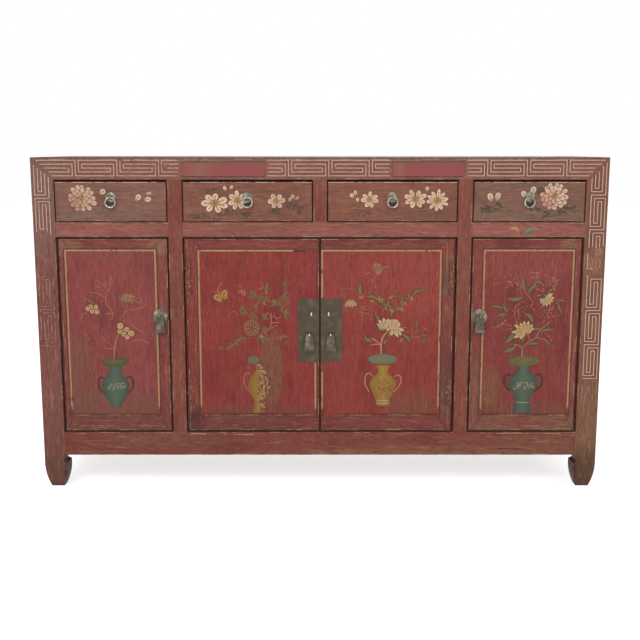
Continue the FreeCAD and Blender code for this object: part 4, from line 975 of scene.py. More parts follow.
def fret_rows(start, end, half, place):
    """Points across a straight fret line, about 6 mm apart, a little past both of its ends."""
    (run_a, rise_a), (run_b, rise_b) = start, end
    length = abs(run_b - run_a) + abs(rise_b - rise_a)
    u = (run_b - run_a) / length
    v = (rise_b - rise_a) / length
    count = max(1, int(length / 6))
    rows = []
    for step in range(count + 1):
        reach = (length + 2 * half) * step / count - half
        run = run_a + u * reach
        rise = rise_a + v * reach
        rows.append([place(run - v * half, rise + u * half), place(run + v * half, rise - u * half)])
    return rows


def draw_fret(pen, points, place, keeps, inside):
    """Raised lines along a fret, over wider, softer dark lines of painted shade.

    The place function turns a point's run and rise into x and z, and the inside function
    says whether that place carries fret.
    """
    longest = points[-1][0]
    for width, height, shade, strength in ((6.0, 0.0, FRET_SHADE, 0.75), (2.8, RELIEF, None, 1.0)):
        base = pen.lift + 3 * COAT_STEP
        for index, (start, end) in enumerate(zip(points, points[1:])):
            keep = keeps((start[0] + end[0]) / 2 / longest)
            colour = shade or (FRET if keep > 0.5 else FRET_WORN)
            rows = fret_rows(start, end, width / 2, place)
            for first, last in stretches([inside(*row[0]) and inside(*row[1]) for row in rows]):
                pen.lift = base + index % 3 * COAT_STEP
                part = rows[first:last]
                pen.grid(part, [[(*colour, keep * strength)] * 2] * len(part), height)


def add_bead(body, paths, low):
    """A half-round gilt bead in one or more stretches round a door panel.

    A corner is its x and z in millimetres and its outward directions along x and z.
    """
    half = BEAD_WIDTH / 2 * MM
    section = [(half * cos(pi * step / 8), BEAD_HEIGHT * MM * sin(pi * step / 8))
               for step in range(9)]
    section += [(-half, -COAT_ROOT * MM), (half, -COAT_ROOT * MM)]
    count = len(section)
    vertices = []
    faces = []
    for corners in paths:
        start = len(vertices)
        for x, z, out_x, out_z in corners:
            vertices += [(x * MM + out_x * across, FRONT - proud, z * MM + out_z * across)
                         for across, proud in section]
        last = len(vertices) - count
        for here in range(start, last, count):
            for index in range(count):
                after = (index + 1) % count
                faces.append([here + index, here + after, here + count + after, here + count + index])
        faces.append([start + index for index in range(count)])
        faces.append([last + index for index in reversed(range(count))])
    material = gilt_bead(body + "_bead_gilt", low * MM)
    build_mesh(body + "_bead", vertices, faces, material, body)


def add_ring(number):
    """A forged ring pull: a round wire bent to a ring, a little thicker at the bottom."""
    node = "drawer_%d_ring" % number
    low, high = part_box(node)
    centre = (low + high) / 2
    wire = (high.y - low.y) / 2 * cos(pi / 6)
    radius = (high.z - low.z) / 2 - wire
    vertices = []
    faces = []
    around, turns = 48, 14
    for step in range(around):
        angle = 2 * pi * step / around
        thick = wire * (1.03 - 0.08 * sin(angle))
        for part in range(turns):
            bend = 2 * pi * part / turns
            reach = radius + thick * cos(bend)
            vertices.append((centre.x + reach * cos(angle), centre.y + thick * sin(bend),
                             centre.z + reach * sin(angle)))
            here, after = step * turns, (step + 1) % around * turns
            beside = (part + 1) % turns
            faces.append([here + part, after + part, after + beside, here + beside])
    ring = build_mesh("forged_ring_%d" % number, vertices, faces, WORN_BRASS, "ring_%d" % number,
                      True)
    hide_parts(node)


def dress(node, material):
    """Gives a CAD node its material and slightly rounded edges.

    The top's planks are rounded less, because a wider rounding leaves a spike where they meet.
    """
    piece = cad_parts[node]
    if not piece.material_slots:
        piece.data.materials.append(material)
    for place in piece.material_slots:
        place.material = material
    join = piece.modifiers.new("join", "WELD")
    join.merge_threshold = 0.00001
    bevel = piece.modifiers.new("round_edges", "BEVEL")
    bevel.width = TOP_ROUNDING if node == "top_boards" else ROUNDING
    bevel.segments = 2
    bevel.limit_method = "ANGLE"
    bevel.angle_limit = radians(40)
    bevel.use_clamp_overlap = True


def door_frame_paint(name, node, stiles, patches):
    """Paint whose grain turns at the mitres. The stiles are given as their widths in metres."""
    low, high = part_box(node)
    paint = Paint(name)
    upright, upright_rough, upright_height = old_paint(paint, DOOR_RED, "z", patches=patches)
    level, level_rough, level_height = old_paint(paint, shifted(DOOR_RED, 0.92), "x", patches=patches)
    x = paint.axis(0)
    z = paint.axis(2)
    left, right, bottom, top = (paint.math("DIVIDE", paint.math("SUBTRACT", to, since), width)
                                for to, since, width in (
                                    (x, low.x, stiles[0]), (high.x, x, stiles[1]),
                                    (z, low.z, DOOR_RAILS[0]), (high.z, z, DOOR_RAILS[1])))
    beside = paint.math("MINIMUM", left, right)
    above = paint.math("MINIMUM", top, bottom)
    offset = paint.math("SUBTRACT", beside, above)
    result = paint.mix(upright, level, paint.ramp(offset, -0.01, 0.01))
    joint = paint.math("MULTIPLY", paint.ramp(offset, -0.05, -0.01), paint.ramp(offset, 0.05, 0.01))
    result = paint.mix(result, DARK, paint.math("MULTIPLY", joint, 0.80))
    height = paint.math("ADD", upright_height, level_height)
    return finish_paint(paint, result, paint.math("MAXIMUM", upright_rough, level_rough), height, 0.25)


def soiled(x, z, wide, high, colour, strength, deep=0.05):
    """A soiled or faded place on the front, with its half sizes."""
    return (x, FRONT, z), (wide, deep, high), colour, strength


WORN_BRASS = old_brass("worn_ring_brass", (0.210, 0.190, 0.165), (0.510, 0.485, 0.435), 0.38, 0.62)
PLATE_BRASS = old_brass("old_plate_brass", (0.120, 0.104, 0.072), (0.350, 0.320, 0.240), 0.42, 0.70)
LOCK_BRASS = old_brass("dark_lock_plate_brass", (0.070, 0.052, 0.033), (0.132, 0.101, 0.066), 0.46, 0.75,
                       FRONT - 0.003, 0.3)
PENDANT_BRASS = old_brass("old_pendant_brass", (0.084, 0.068, 0.048), (0.215, 0.182, 0.132), 0.45, 0.72,
                          spotting=0.4)

INNER_WOOD = bare_wood("inner_wood_level", "x")
INNER_WOOD_DEEP = bare_wood("inner_wood_deep", "y")
INNER_WOOD_UPRIGHT = bare_wood("inner_wood_upright", "z", (0.270, 0.160, 0.095), (0.150, 0.085, 0.050))

# The feet: darker towards the floor, and painted shade on the inner side of each foot.
FOOT_DARKENING_AND_SHADE = (
    soiled(-0.76, 0.02, 0.10, 0.11, (0.130, 0.062, 0.047), 0.9, 0.30),
    soiled(0.76, 0.02, 0.10, 0.11, (0.086, 0.045, 0.029), 0.9, 0.30),
    ((-0.701, FRONT + 0.03, 0.046), (0.038, 0.22, 0.064), (0.014, 0.009, 0.008), 1.0),
    ((0.701, FRONT + 0.03, 0.046), (0.038, 0.22, 0.064), (0.014, 0.009, 0.008), 1.0),
)
TOP_RAIL_LOOKS = dict(colour=(0.262, 0.100, 0.080), grain="x", patches=(
    soiled(0.0, 0.939, 0.80, 0.012, (0.200, 0.115, 0.085), 0.75, 0.02),
    soiled(-0.76, 0.907, 0.07, 0.05, (0.190, 0.110, 0.090), 0.8)))
LEFT_POST_LOOKS = dict(colour=(0.208, 0.072, 0.057), grain="z", patches=(
    soiled(-0.76, 0.257, 0.05, 0.16, (0.225, 0.085, 0.072), 0.7, 0.06),
    soiled(-0.76, 0.807, 0.06, 0.18, (0.225, 0.125, 0.105), 0.85, 0.06),
    *FOOT_DARKENING_AND_SHADE))
RIGHT_POST_LOOKS = dict(colour=(0.215, 0.086, 0.060), grain="z", patches=(
    soiled(0.76, 0.177, 0.09, 0.17, (0.206, 0.108, 0.058), 0.9, 0.06),
    soiled(0.76, 0.657, 0.04, 0.05, (0.230, 0.120, 0.065), 0.8, 0.06),
    *FOOT_DARKENING_AND_SHADE))
MID_RAIL_LOOKS = dict(colour=(0.288, 0.100, 0.080), grain="x", wear=1.2, patches=(
    soiled(0.56, 0.742, 0.20, 0.04, (0.320, 0.104, 0.086), 0.8),
    soiled(-0.19, 0.742, 0.20, 0.04, (0.255, 0.092, 0.070), 0.7)))
LOW_RAIL_LOOKS = dict(colour=(0.212, 0.058, 0.046), grain="x", patches=(
    soiled(0.38, 0.097, 0.45, 0.035, (0.230, 0.110, 0.065), 0.7),
    soiled(-0.45, 0.147, 0.20, 0.03, (0.200, 0.085, 0.060), 0.6),
    soiled(0.62, 0.137, 0.12, 0.05, (0.220, 0.095, 0.060), 0.6)))
UPRIGHT_LOOKS = dict(colour=(0.218, 0.064, 0.048), grain="z", wear=0.9)

DRAWER_LOOKS = {
    1: dict(colour=(0.222, 0.104, 0.080), grain="x", wear=0.8, patches=(
        soiled(-0.60, 0.777, 0.16, 0.03, (0.215, 0.135, 0.105), 0.6),)),
    2: dict(colour=(0.226, 0.092, 0.066), grain="x", wear=0.8),
    3: dict(colour=(0.244, 0.094, 0.064), grain="x", wear=0.8, patches=(
        soiled(0.27, 0.787, 0.12, 0.025, (0.170, 0.085, 0.055), 0.6),)),
    4: dict(colour=(0.210, 0.108, 0.078), grain="x", wear=0.8, patches=(
        soiled(0.62, 0.777, 0.14, 0.03, (0.185, 0.120, 0.090), 0.6),)),
}

DOORS = {
    "left": dict(
        draw=draw_left_door, stiles=(24, 34), bead=(-705.0, -456.5, 213.5, 684.5),
        frame_patches=(soiled(-0.58, 0.187, 0.20, 0.04, (0.165, 0.062, 0.046), 0.85),
                       soiled(-0.70, 0.697, 0.04, 0.04, (0.260, 0.130, 0.095), 0.7),
                       soiled(-0.44, 0.697, 0.04, 0.03, (0.270, 0.140, 0.100), 0.7)),
        looks=dict(colour=(0.252, 0.060, 0.056), grain="z", wear=0.7, wear_colour=PINK_WEAR, patches=(
            soiled(-0.58, 0.237, 0.16, 0.07, (0.185, 0.080, 0.056), 0.8),
            soiled(-0.60, 0.674, 0.15, 0.016, (0.200, 0.075, 0.060), 0.5),
            soiled(-0.68, 0.307, 0.05, 0.16, (0.180, 0.080, 0.056), 0.7)))),
    "centre_left": dict(
        draw=draw_centre_left_door, stiles=(42, 8), bead=(-336.5, -13.0, 213.5, 684.0), meeting=-1.0,
        frame_patches=(soiled(-0.37, 0.197, 0.05, 0.06, (0.045, 0.024, 0.020), 0.95),
                       soiled(-0.20, 0.187, 0.20, 0.035, (0.160, 0.052, 0.042), 0.8),
                       soiled(-0.36, 0.457, 0.03, 0.25, (0.230, 0.041, 0.040), 0.9),
                       soiled(-0.19, 0.697, 0.19, 0.02, (0.240, 0.052, 0.048), 0.8)),
        looks=dict(colour=(0.252, 0.042, 0.037), grain="z", wear=0.6, wear_colour=PINK_WEAR, patches=(
            soiled(-0.137, 0.347, 0.040, 0.13, (0.200, 0.085, 0.050), 0.95),
            soiled(-0.18, 0.222, 0.20, 0.03, (0.175, 0.065, 0.045), 0.7)))),
    "centre_right": dict(
        draw=draw_centre_right_door, stiles=(8, 42), bead=(6.0, 335.0, 213.5, 684.0), meeting=1.0,
        frame_patches=(soiled(0.36, 0.607, 0.035, 0.06, (0.120, 0.070, 0.045), 0.8),
                       soiled(0.36, 0.287, 0.035, 0.09, (0.110, 0.060, 0.040), 0.8),
                       soiled(0.20, 0.187, 0.18, 0.035, (0.200, 0.055, 0.045), 0.8)),
        looks=dict(colour=(0.268, 0.047, 0.040), grain="z", wear=0.6, wear_colour=PINK_WEAR, patches=(
            soiled(0.26, 0.607, 0.12, 0.14, (0.310, 0.064, 0.050), 0.8),
            soiled(0.08, 0.607, 0.10, 0.12, (0.300, 0.058, 0.048), 0.7),
            soiled(0.26, 0.237, 0.09, 0.05, (0.190, 0.078, 0.048), 0.75)))),
    "right": dict(
        draw=draw_right_door, stiles=(34, 24), bead=(456.0, 703.0, 213.5, 684.5),
        frame_patches=(soiled(0.50, 0.187, 0.08, 0.04, (0.200, 0.100, 0.062), 0.85),
                       soiled(0.66, 0.187, 0.10, 0.04, (0.210, 0.110, 0.068), 0.85),
                       soiled(0.69, 0.697, 0.03, 0.03, (0.260, 0.130, 0.080), 0.7),
                       soiled(0.58, 0.190, 0.10, 0.012, (0.260, 0.060, 0.050), 0.8),
                       soiled(0.44, 0.307, 0.03, 0.10, (0.180, 0.090, 0.058), 0.6)),
        looks=dict(colour=(0.220, 0.046, 0.041), grain="z", wear=0.7, wear_colour=PINK_WEAR, patches=(
            soiled(0.58, 0.647, 0.16, 0.06, (0.272, 0.066, 0.058), 0.8),
            soiled(0.482, 0.287, 0.032, 0.08, (0.225, 0.095, 0.055), 0.80),
            soiled(0.60, 0.227, 0.14, 0.03, (0.180, 0.076, 0.050), 0.7)))),
}

# Places on the front, in millimetres. An opening is its left, right, bottom and top.
DRAWER_OPENINGS = ((-728, -420, 763.5, 877), (-378, -20, 763.5, 877), (20, 378, 763.5, 877),
                   (420, 728, 763.5, 877))
DOOR_OPENINGS = ((-728, -420, 167, 720), (-378, 378, 167, 720), (420, 728, 167, 720))
DOOR_LEVELS = (168.5, 718.5)
LOW_RAIL_LINE = 183
PANEL_LINE = 215.4
PIVOT_SHOULDER = 4.2
MEETING_COAT = (2.4, 42.0)
MEETING_COAT_LEVELS = (6.0, 473.0)
RAIL_FRET = 42.0
RAIL_FRET_GAP = 8.75
POST_FRET = 39.0
POST_FRET_GAP = 9.0
CARTOUCHE_FOOT = 11
CARTOUCHE_TOP = 47
HINGE_MARK = 366
HINGE_MARK_LEVELS = ((560, 653), (244, 323))
ROUND_PLATE_FOOT = 479.5
ROUND_PLATE_TOP = 519.5
LOCK_PLATE_FOOT = 341
LOCK_PLATE_TOP = 552


def dress_carcass():
    looks = {
        "front_left_post": LEFT_POST_LOOKS,
        "front_right_post": RIGHT_POST_LOOKS,
        "rear_left_post": dict(colour=FRAME_RED, grain="z", patches=FOOT_DARKENING_AND_SHADE),
        "rear_right_post": dict(colour=FRAME_RED, grain="z", patches=FOOT_DARKENING_AND_SHADE),
        "top_front_rail": TOP_RAIL_LOOKS,
        "top_rear_rail": dict(colour=GREY_BROWN, grain="x"),
        "top_side_rails": dict(colour=(0.220, 0.100, 0.076), grain="y"),
        "top_boards": dict(colour=GREY_BROWN, grain="x", under=(0.130, 0.078, 0.055)),
        "bottom_front_rail": LOW_RAIL_LOOKS,
        "bottom_side_rails": dict(colour=LOW_RAIL_RED, grain="y"),
        "front_uprights": UPRIGHT_LOOKS,
        "drawer_divider": UPRIGHT_LOOKS,
        "front_mid_rails": MID_RAIL_LOOKS,
        "side_mid_rails": dict(colour=FRAME_RED, grain="y"),
        "side_panels": dict(colour=(0.205, 0.056, 0.044), grain="z"),
    }
    for node, look in looks.items():
        dress(node, painted(node + "_paint", **look))
    for node in ("top_battens", "floor_bearers", "drawer_runners"):
        dress(node, INNER_WOOD_DEEP)
    for node in ("floor_boards", "rear_mid_rails", "bottom_rear_rail"):
        dress(node, INNER_WOOD)
    for node in ("rear_uprights", "back_panels"):
        dress(node, INNER_WOOD_UPRIGHT)


def shade_and_rub_openings(pen, openings, sides):
    """Painted shade along the edge of each opening, widest at its top, and paint rubbed off just outside it.
    """
    for opening in openings:
        width = 2.6 if sides == "t" else 2.2 if opening in DOOR_OPENINGS else 1.2
        edge_frame(pen, opening, -width / 2, width, SHADE_AND_SOOT, 0.95, 0.05, sides)
        edge_frame(pen, opening, -3.4, 1.9, RUBBED, 0.26, 0.30, sides)


def draw_cartouche(pen, left, right, worn):
    """A bare red field between dark and ochre lines, browner in its worn share."""
    brown = (0.280, 0.118, 0.092)
    shades = ((0.0, CARTOUCHE_RED), (worn * 0.5, brown), (worn, CARTOUCHE_RED), (1.0, CARTOUCHE_RED))
    places = [left + (right - left) * share for share, _ in shades]
    pen.grid([[(x, CARTOUCHE_FOOT), (x, CARTOUCHE_TOP)] for x in places],
             [[(*shade, 0.88)] * 2 for _, shade in shades])
    pen.line([(left, 49.5), (right, 49.5)], 2.6, VASE_DARK, 0.80)
    pen.line([(left, 52.6), ((left + right) / 2, 52.6)], 1.8, OCHRE, 0.55)
    pen.line([(left, 9.4), (right, 9.4)], 2.0, DARK, 0.65)
    for x in (left, right):
        pen.line([(x, CARTOUCHE_FOOT), (x, CARTOUCHE_TOP)], 1.8, VASE_DARK, 0.6)


def dress_top_rail():
    """Key fret in raised lines, broken by two bare cartouches and cut by the corner mitres."""
    pen = Pen("top_front_rail")
    spans = ((-780.5, 113.5, -800, -384, 0.74, 0.66), (-196.0, 110.0, -146, 194, 0.72, 0.76),
             (349.0, 108.0, 400, 800, 0.92, 0.84))
    for start, pitch, low, high, first, last in spans:
        draw_fret(pen, fret_points(4, pitch, RAIL_FRET, RAIL_FRET_GAP),
                  lambda run, rise: (start + run, 12.0 + rise), lambda share: first + (last - first) * share,
                  lambda x, z: low < x < high and abs(x) < 726 + z)
    draw_cartouche(pen, -378, -151, 0.42)
    draw_cartouche(pen, 197, 394, 0.20)
    edge_line(pen, (-765, 937), (765, 937), 2.6, (0.110, 0.070, 0.052), 0.75, 0.15)
    edge_line(pen, (-740, 934), (740, 934), 1.8, RUBBED, 0.45, 0.25)
    shade_and_rub_openings(pen, DRAWER_OPENINGS, "t")
    pen.finish("top_rail_fret", "top_rail_fret_paint", TOP_RAIL_LOOKS)


def left_post_keep(share):
    if share < 0.20:
        return 0.90
    if share < 0.38:
        return 0.75
    return 0.34 if share < 0.62 else 0.50


def draw_carving(pen):
    """A bud under a coil, carved in low relief and rubbed warm brown, where the fret is broken."""
    field = (0.300, 0.128, 0.080)
    light = (0.440, 0.225, 0.145)
    bud = (5, 648)
    coil = (12, 681)
    pen.spot(*bud, 18, 27, field, shifted(field, 0.85), 0.9, count=20, ripple=0.06, lobes=4)
    pen.spot(*coil, 13.5, 12, field, shifted(field, 0.9), 0.9, count=18)
    turns = [(12.4 - 9.0 * step / 26, step * radians(24) + 3.6) for step in range(27)]
    spiral = [(coil[0] + reach * cos(turn), coil[1] + 0.85 * reach * sin(turn)) for reach, turn in turns]
    carve(pen, spiral, light)
    for points in (((-8, 665), (-3, 652), (-5, 638), (3, 625)), ((1, 667), (8, 653), (5, 638), (12, 628)),
                   ((11, 664), (18, 652), (15, 637)), ((-12, 652), (-10, 641), (-3, 632))):
        carve(pen, spline(points, 5), light)
    pen.line(((-18, 677), (-18, 634), (-5, 633)), 2.8, FRET, 0.85, RELIEF)
    pen.lift = FIRST_COAT


def carve(pen, points, light):
    """A ridge of low relief, with a painted shadow beside it."""
    pen.stroke([(x + 2.2, z - 0.8) for x, z in points], 2.0, FRET_SHADE, 0.65, taper=0.3, steps=1)
    pen.stroke(points, 2.4, light, 0.85, taper=0.3, steps=1, height=RELIEF)


def dress_posts():
    """A worn key fret down each front post, and a carved bud and coil on the right one."""
    left = Pen("front_left_post")
    draw_fret(left, fret_points(5, 103.0, POST_FRET, POST_FRET_GAP),
              lambda run, rise: (-22.0 + rise, 931.0 - run), left_post_keep, lambda x, z: z < 905 - x)
    shade_and_rub_openings(left, DRAWER_OPENINGS[:1] + DOOR_OPENINGS[:1], "l")
    left.finish("left_post_fret", "left_post_fret_paint", LEFT_POST_LOOKS)
    right = Pen("front_right_post")
    for start, units, pitch, low, high in ((932.0, 3, 95.0, 691, 939), (614.0, 3, 97.5, 307, 617),
                                           (321.5, 1, 97.5, 247, 317)):
        draw_fret(right, fret_points(units, pitch, POST_FRET, POST_FRET_GAP),
                  lambda run, rise: (-16.0 + rise, start - run), lambda share: 0.92 if start > 330 else 0.45,
                  lambda x, z: low < z < high and z < 905 + x)
    draw_carving(right)
    shade_and_rub_openings(right, DRAWER_OPENINGS[-1:] + DOOR_OPENINGS[-1:], "r")
    right.finish("right_post_fret", "right_post_fret_paint", RIGHT_POST_LOOKS)


def dress_rails():
    middle = Pen("front_mid_rails")
    leaf(middle, 522, 24, 340, 30, 15, (0.400, 0.205, 0.100), 0.80, 0.25)
    leaf(middle, 540, 22, 300, 18, 9, (0.330, 0.140, 0.075), 0.70)
    leaf(middle, 560, 12, 22, 38, 19, (0.170, 0.155, 0.110), 0.78, 0.1)
    leaf(middle, 566, 10, 350, 20, 10, (0.150, 0.130, 0.090), 0.60)
    leaf_clusters(middle, 0.36, ((640, 18, 14, 8),))
    sprinkle(middle, 620, 22, 26, 8, 22, 1.5, OCHRE, 41, 0.5)
    shade_and_rub_openings(middle, DRAWER_OPENINGS, "b")
    shade_and_rub_openings(middle, DOOR_OPENINGS, "t")
    middle.stroke(((440, 4), (560, 3.4), (700, 4.4)), 2.6, OCHRE, 0.5)
    middle.finish("mid_rail_leaves", "mid_rail_leaf_paint", MID_RAIL_LOOKS)
    low = Pen("bottom_front_rail")
    # Painted shade in the gaps under the doors, and rubbed paint.
    shade_and_rub_openings(low, DOOR_OPENINGS, "b")
    edge_line(low, (-370, 160), (-190, 157), 3.0, RUBBED, 0.50, 0.3)
    edge_line(low, (459, 161), (686, 161), 2.2, (0.420, 0.210, 0.120), 0.70, 0.2)
    edge_line(low, (470, 157), (700, 156), 2.0, (0.150, 0.040, 0.034), 0.60, 0.2)
    edge_line(low, (686, 161), (686, 150), 2.0, (0.420, 0.210, 0.120), 0.60, 0.0)
    edge_line(low, (511, 116), (592, 114), 2.2, SHADE_AND_SOOT, 0.55, 0.3)
    edge_line(low, (-700, 98.5), (700, 98.5), 2.4, RUBBED, 0.40, 0.3)
    low.finish("bottom_rail_shade_and_wear", "bottom_rail_shade_and_wear_paint", LOW_RAIL_LOOKS)
    uprights = Pen("front_uprights")
    # Painted shade in the gaps beside the openings, and rubbed paint.
    shade_and_rub_openings(uprights, (DRAWER_OPENINGS[0], DOOR_OPENINGS[0], DRAWER_OPENINGS[2], DOOR_OPENINGS[1]), "r")
    shade_and_rub_openings(uprights, (DRAWER_OPENINGS[1], DOOR_OPENINGS[1], DRAWER_OPENINGS[3], DOOR_OPENINGS[2]), "l")
    shade_and_rub_openings(uprights, (DRAWER_OPENINGS[1],), "r")
    shade_and_rub_openings(uprights, (DRAWER_OPENINGS[2],), "l")
    uprights.finish("upright_shade_and_wear", "upright_shade_and_wear_paint", UPRIGHT_LOOKS)


def in_mm(node):
    """Left, right, bottom and top of a node."""
    low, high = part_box(node)
    return low.x / MM, high.x / MM, low.z / MM, high.z / MM


def dress_drawers():
    artists = (draw_drawer_1, draw_drawer_2, draw_drawer_3, draw_drawer_4)
    for number, draw in enumerate(artists, 1):
        drawer = "drawer_%d" % number
        looks = DRAWER_LOOKS[number]
        dress(drawer + "_front", painted(drawer + "_front_paint", **looks))
        dress(drawer + "_box", INNER_WOOD_DEEP)
        dress(drawer + "_bottom", INNER_WOOD_DEEP)
        dress(drawer + "_pull_plate", PLATE_BRASS)
        dress(drawer + "_ring", WORN_BRASS)
        add_ring(number)
        pen = Pen(drawer + "_front")
        pen.spot(0, 51, 13, 13, (0.045, 0.030, 0.024), (0.080, 0.050, 0.040), count=24)
        draw(pen)
        edges = in_mm(drawer + "_front")
        # Painted shade in the gaps beside and under the drawer front.
        edge_frame(pen, edges, 0.5, 1.0, SHADE_AND_SOOT, 0.90, 0.05, "lr")
        edge_frame(pen, edges, 0.5, 1.0, SHADE_AND_SOOT, 0.70, 0.15, "b")
        edge_frame(pen, edges, 1.2, 2.4, (0.520, 0.350, 0.260), 0.62, 0.20, "t")
        edge_frame(pen, edges, 3.0, 1.6, RUBBED, 0.22, 0.26, "lrb")
        pen.finish(drawer + "_flowers", drawer + "_flower_paint", looks, drawer)


def bead_paths(name, left, right, bottom, top):
    """The stretches of bead that are left. The lock plates and round plates break it."""
    over = [(left, bottom, -1, 0), (left, top, -1, 1), (right, top, 1, 1), (right, bottom, 1, 0)]
    if name == "centre_left":
        return [over[:2] + [(right - 60, top, 0, 1)], [(right, 368, 1, 0), (right, 199, 1, 0)]]
    if name == "left":
        return [over[:3] + [(right, ROUND_PLATE_TOP, 1, 0)], [(right, ROUND_PLATE_FOOT, 1, 0), over[3]]]
    foot, head = (ROUND_PLATE_FOOT, ROUND_PLATE_TOP) if name == "right" else (LOCK_PLATE_FOOT, LOCK_PLATE_TOP)
    return [[(left, head, -1, 0)] + over[1:], [over[0], (left, foot, -1, 0)]]


def cover_joint(pen, door):
    """Lacquer over the joint between the panel and its meeting stile."""
    side = door["meeting"]
    left, right = sorted(side * place - pen.middle / MM for place in MEETING_COAT)
    shade = [(*door["looks"]["colour"], 0.0)] * 2
    pen.grid([[(left, z), (right, z)] for z in MEETING_COAT_LEVELS], [shade, shade])


def draw_hinge_ghost(pen, x, bottom, top):
    """The mark of an old hinge leaf: a redder field with a dark edge and three nail holes."""
    x = x - pen.middle / MM
    low = bottom - pen.low / MM
    high = top - pen.low / MM
    outline = [(x - 7, low), (x + 7, low), (x + 7, high), (x - 7, high)]
    pen.fan((x, (low + high) / 2), outline, (0.235, 0.070, 0.054), (0.170, 0.060, 0.045), 0.72)
    pen.line(outline + outline[:1], 2.2, DARK, 0.66)
    sprinkle(pen, x, (low + high) / 2, 5, (high - low) / 4, 26, 1.6, RUBBED, low, 0.62)
    for share in (0.18, 0.5, 0.82):
        z = low + (high - low) * share
        pen.spot(x, z, 2.2, 2.6, DARK, DARK, 0.9, count=10)


def dress_door_frame(name, door):
    body = name + "_door"
    frame_node = body + "_frame"
    stiles = [width * MM for width in door["stiles"]]
    dress(frame_node, door_frame_paint(body + "_frame_paint", frame_node, stiles, door["frame_patches"]))
    edges = Pen(frame_node)
    left, right, bottom, top = door["bead"]
    # A line of painted shade just outside the bead, where its groove lies in shadow.
    edge_frame(edges, (left, right, bottom, top), -4.4, 2.8, (0.075, 0.036, 0.024), 0.80, 0.15, "lrt")
    hinged_left = name in ("left", "centre_left")
    low, high = in_mm(frame_node)[:2]
    outer = (low + PIVOT_SHOULDER * hinged_left, high - PIVOT_SHOULDER * (not hinged_left), *DOOR_LEVELS)
    # Painted shade in the gaps round the door, and paint rubbed off just inside them.
    edge_frame(edges, outer, 1.0, 2.0, SHADE_AND_SOOT, 0.95, 0.05)
    edge_frame(edges, outer, 3.0, 1.7, RUBBED, 0.32, 0.28)
    if "meeting" in door:
        for levels in HINGE_MARK_LEVELS:
            draw_hinge_ghost(edges, HINGE_MARK * door["meeting"], *levels)
    else:
        edge_line(edges, (outer[0] + 40, LOW_RAIL_LINE), (outer[1] - 40, LOW_RAIL_LINE), 2.4,
                  (0.390, 0.190, 0.110), 0.45, 0.25)
    looks = dict(colour=DOOR_RED, grain="z", patches=door["frame_patches"])
    edges.finish(body + "_edge_shade_and_wear", body + "_edge_paint", looks, body)


def dress_doors():
    for name, door in DOORS.items():
        body = name + "_door"
        dress_door_frame(name, door)
        dress(body + "_panel", painted(body + "_panel_paint", **door["looks"]))
        dress(body + "_plate", LOCK_BRASS if "meeting" in door else PLATE_BRASS)
        dress(body + "_pendant", PENDANT_BRASS)
        add_bead(body, bead_paths(name, *door["bead"]), door["bead"][2])
        pen = Pen(body + "_panel")
        if "meeting" in door:
            cover_joint(pen, door)
        door["draw"](pen)
        left, right, _, _ = door["bead"]
        edge_line(pen, (left + 6, PANEL_LINE), (right - 6, PANEL_LINE), 1.8, RUBBED, 0.50, 0.2)
        pen.finish(body + "_painting", body + "_flower_paint", door["looks"], body)


def seen_rays(tree):
    """One for what the camera sees directly, in metal or through glass."""
    rays = tree.nodes.new("ShaderNodeLightPath").outputs
    seen = rays["Is Camera Ray"]
    for ray in ("Is Glossy Ray", "Is Transmission Ray"):
        either = tree.nodes.new("ShaderNodeMath")
        either.operation = "MAXIMUM"
        tree.links.new(seen, either.inputs[0])
        tree.links.new(rays[ray], either.inputs[1])
        seen = either.outputs[0]
    return seen


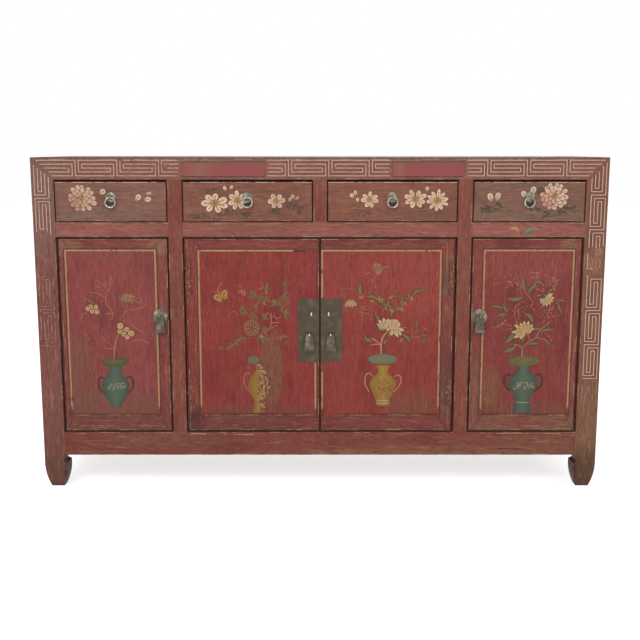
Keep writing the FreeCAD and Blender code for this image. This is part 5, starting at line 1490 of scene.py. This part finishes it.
def add_stage():
    """A pale floor that keeps the shadow."""
    mesh = bpy.data.meshes.new("studio_floor")
    reach = 14.0
    mesh.from_pydata([(-reach, -reach, 0), (reach, -reach, 0), (reach, reach, 0), (-reach, reach, 0)], [],
                     [(0, 1, 2, 3)])
    floor = bpy.data.objects.new("studio_floor", mesh)
    bpy.context.scene.collection.objects.link(floor)
    material = bpy.data.materials.new("pale_floor")
    material.use_nodes = True
    tree = material.node_tree
    shader = tree.nodes["Principled BSDF"]
    shader.inputs["Base Color"].default_value = (0.86, 0.86, 0.86, 1)
    shader.inputs["Roughness"].default_value = 0.9
    shader.inputs["Specular IOR Level"].default_value = 0.0
    shader.inputs["Emission Color"].default_value = (1, 1, 1, 1)
    glow = tree.nodes.new("ShaderNodeMath")
    glow.operation = "MULTIPLY"
    glow.inputs[1].default_value = 0.70
    tree.links.new(seen_rays(tree), glow.inputs[0])
    tree.links.new(glow.outputs[0], shader.inputs["Emission Strength"])
    mesh.materials.append(material)


def add_world():
    """Even light from all round, which the camera sees as white."""
    world = bpy.data.worlds.new("studio")
    bpy.context.scene.world = world
    world.use_nodes = True
    tree = world.node_tree
    back = tree.nodes["Background"]
    back.inputs["Color"].default_value = (1, 1, 1, 1)
    strength = tree.nodes.new("ShaderNodeMapRange")
    strength.inputs["To Min"].default_value = 0.55
    strength.inputs["To Max"].default_value = 1.0
    tree.links.new(seen_rays(tree), strength.inputs["Value"])
    tree.links.new(strength.outputs[0], back.inputs["Strength"])


def add_light(name, place, target, size, power):
    light = bpy.data.lights.new(name, "AREA")
    light.shape = "RECTANGLE"
    light.size, light.size_y = size
    light.energy = power
    lamp = bpy.data.objects.new(name, light)
    lamp.location = place
    lamp.rotation_euler = (Vector(target) - Vector(place)).to_track_quat("-Z", "Y").to_euler()
    bpy.context.scene.collection.objects.link(lamp)


def add_camera():
    data = bpy.data.cameras.new("photo_camera")
    data.sensor_width = 36.0
    data.lens = FOCAL_LENGTH
    camera = bpy.data.objects.new("photo_camera", data)
    camera.location = (0.0, FRONT - CAMERA_DISTANCE, CAMERA_HEIGHT)
    camera.rotation_euler = (radians(90 - CAMERA_TILT), 0.0, 0.0)
    bpy.context.scene.collection.objects.link(camera)
    bpy.context.scene.camera = camera


dress_carcass()
dress_top_rail()
dress_posts()
dress_rails()
dress_drawers()
dress_doors()
add_stage()
add_world()
add_light("key_light", (-1.4, -3.2, 2.8), (0.0, 0.0, 0.5), (2.2, 1.4), 56.0)
add_light("fill_light", (2.4, -2.6, 1.6), (0.0, 0.0, 0.5), (2.0, 2.0), 20.0)
add_light("rear_light", (0.5, 2.8, 2.4), (0.0, 0.0, 0.5), (2.0, 1.5), 30.0)
add_camera()
bpy.context.scene.view_settings.view_transform = "Standard"
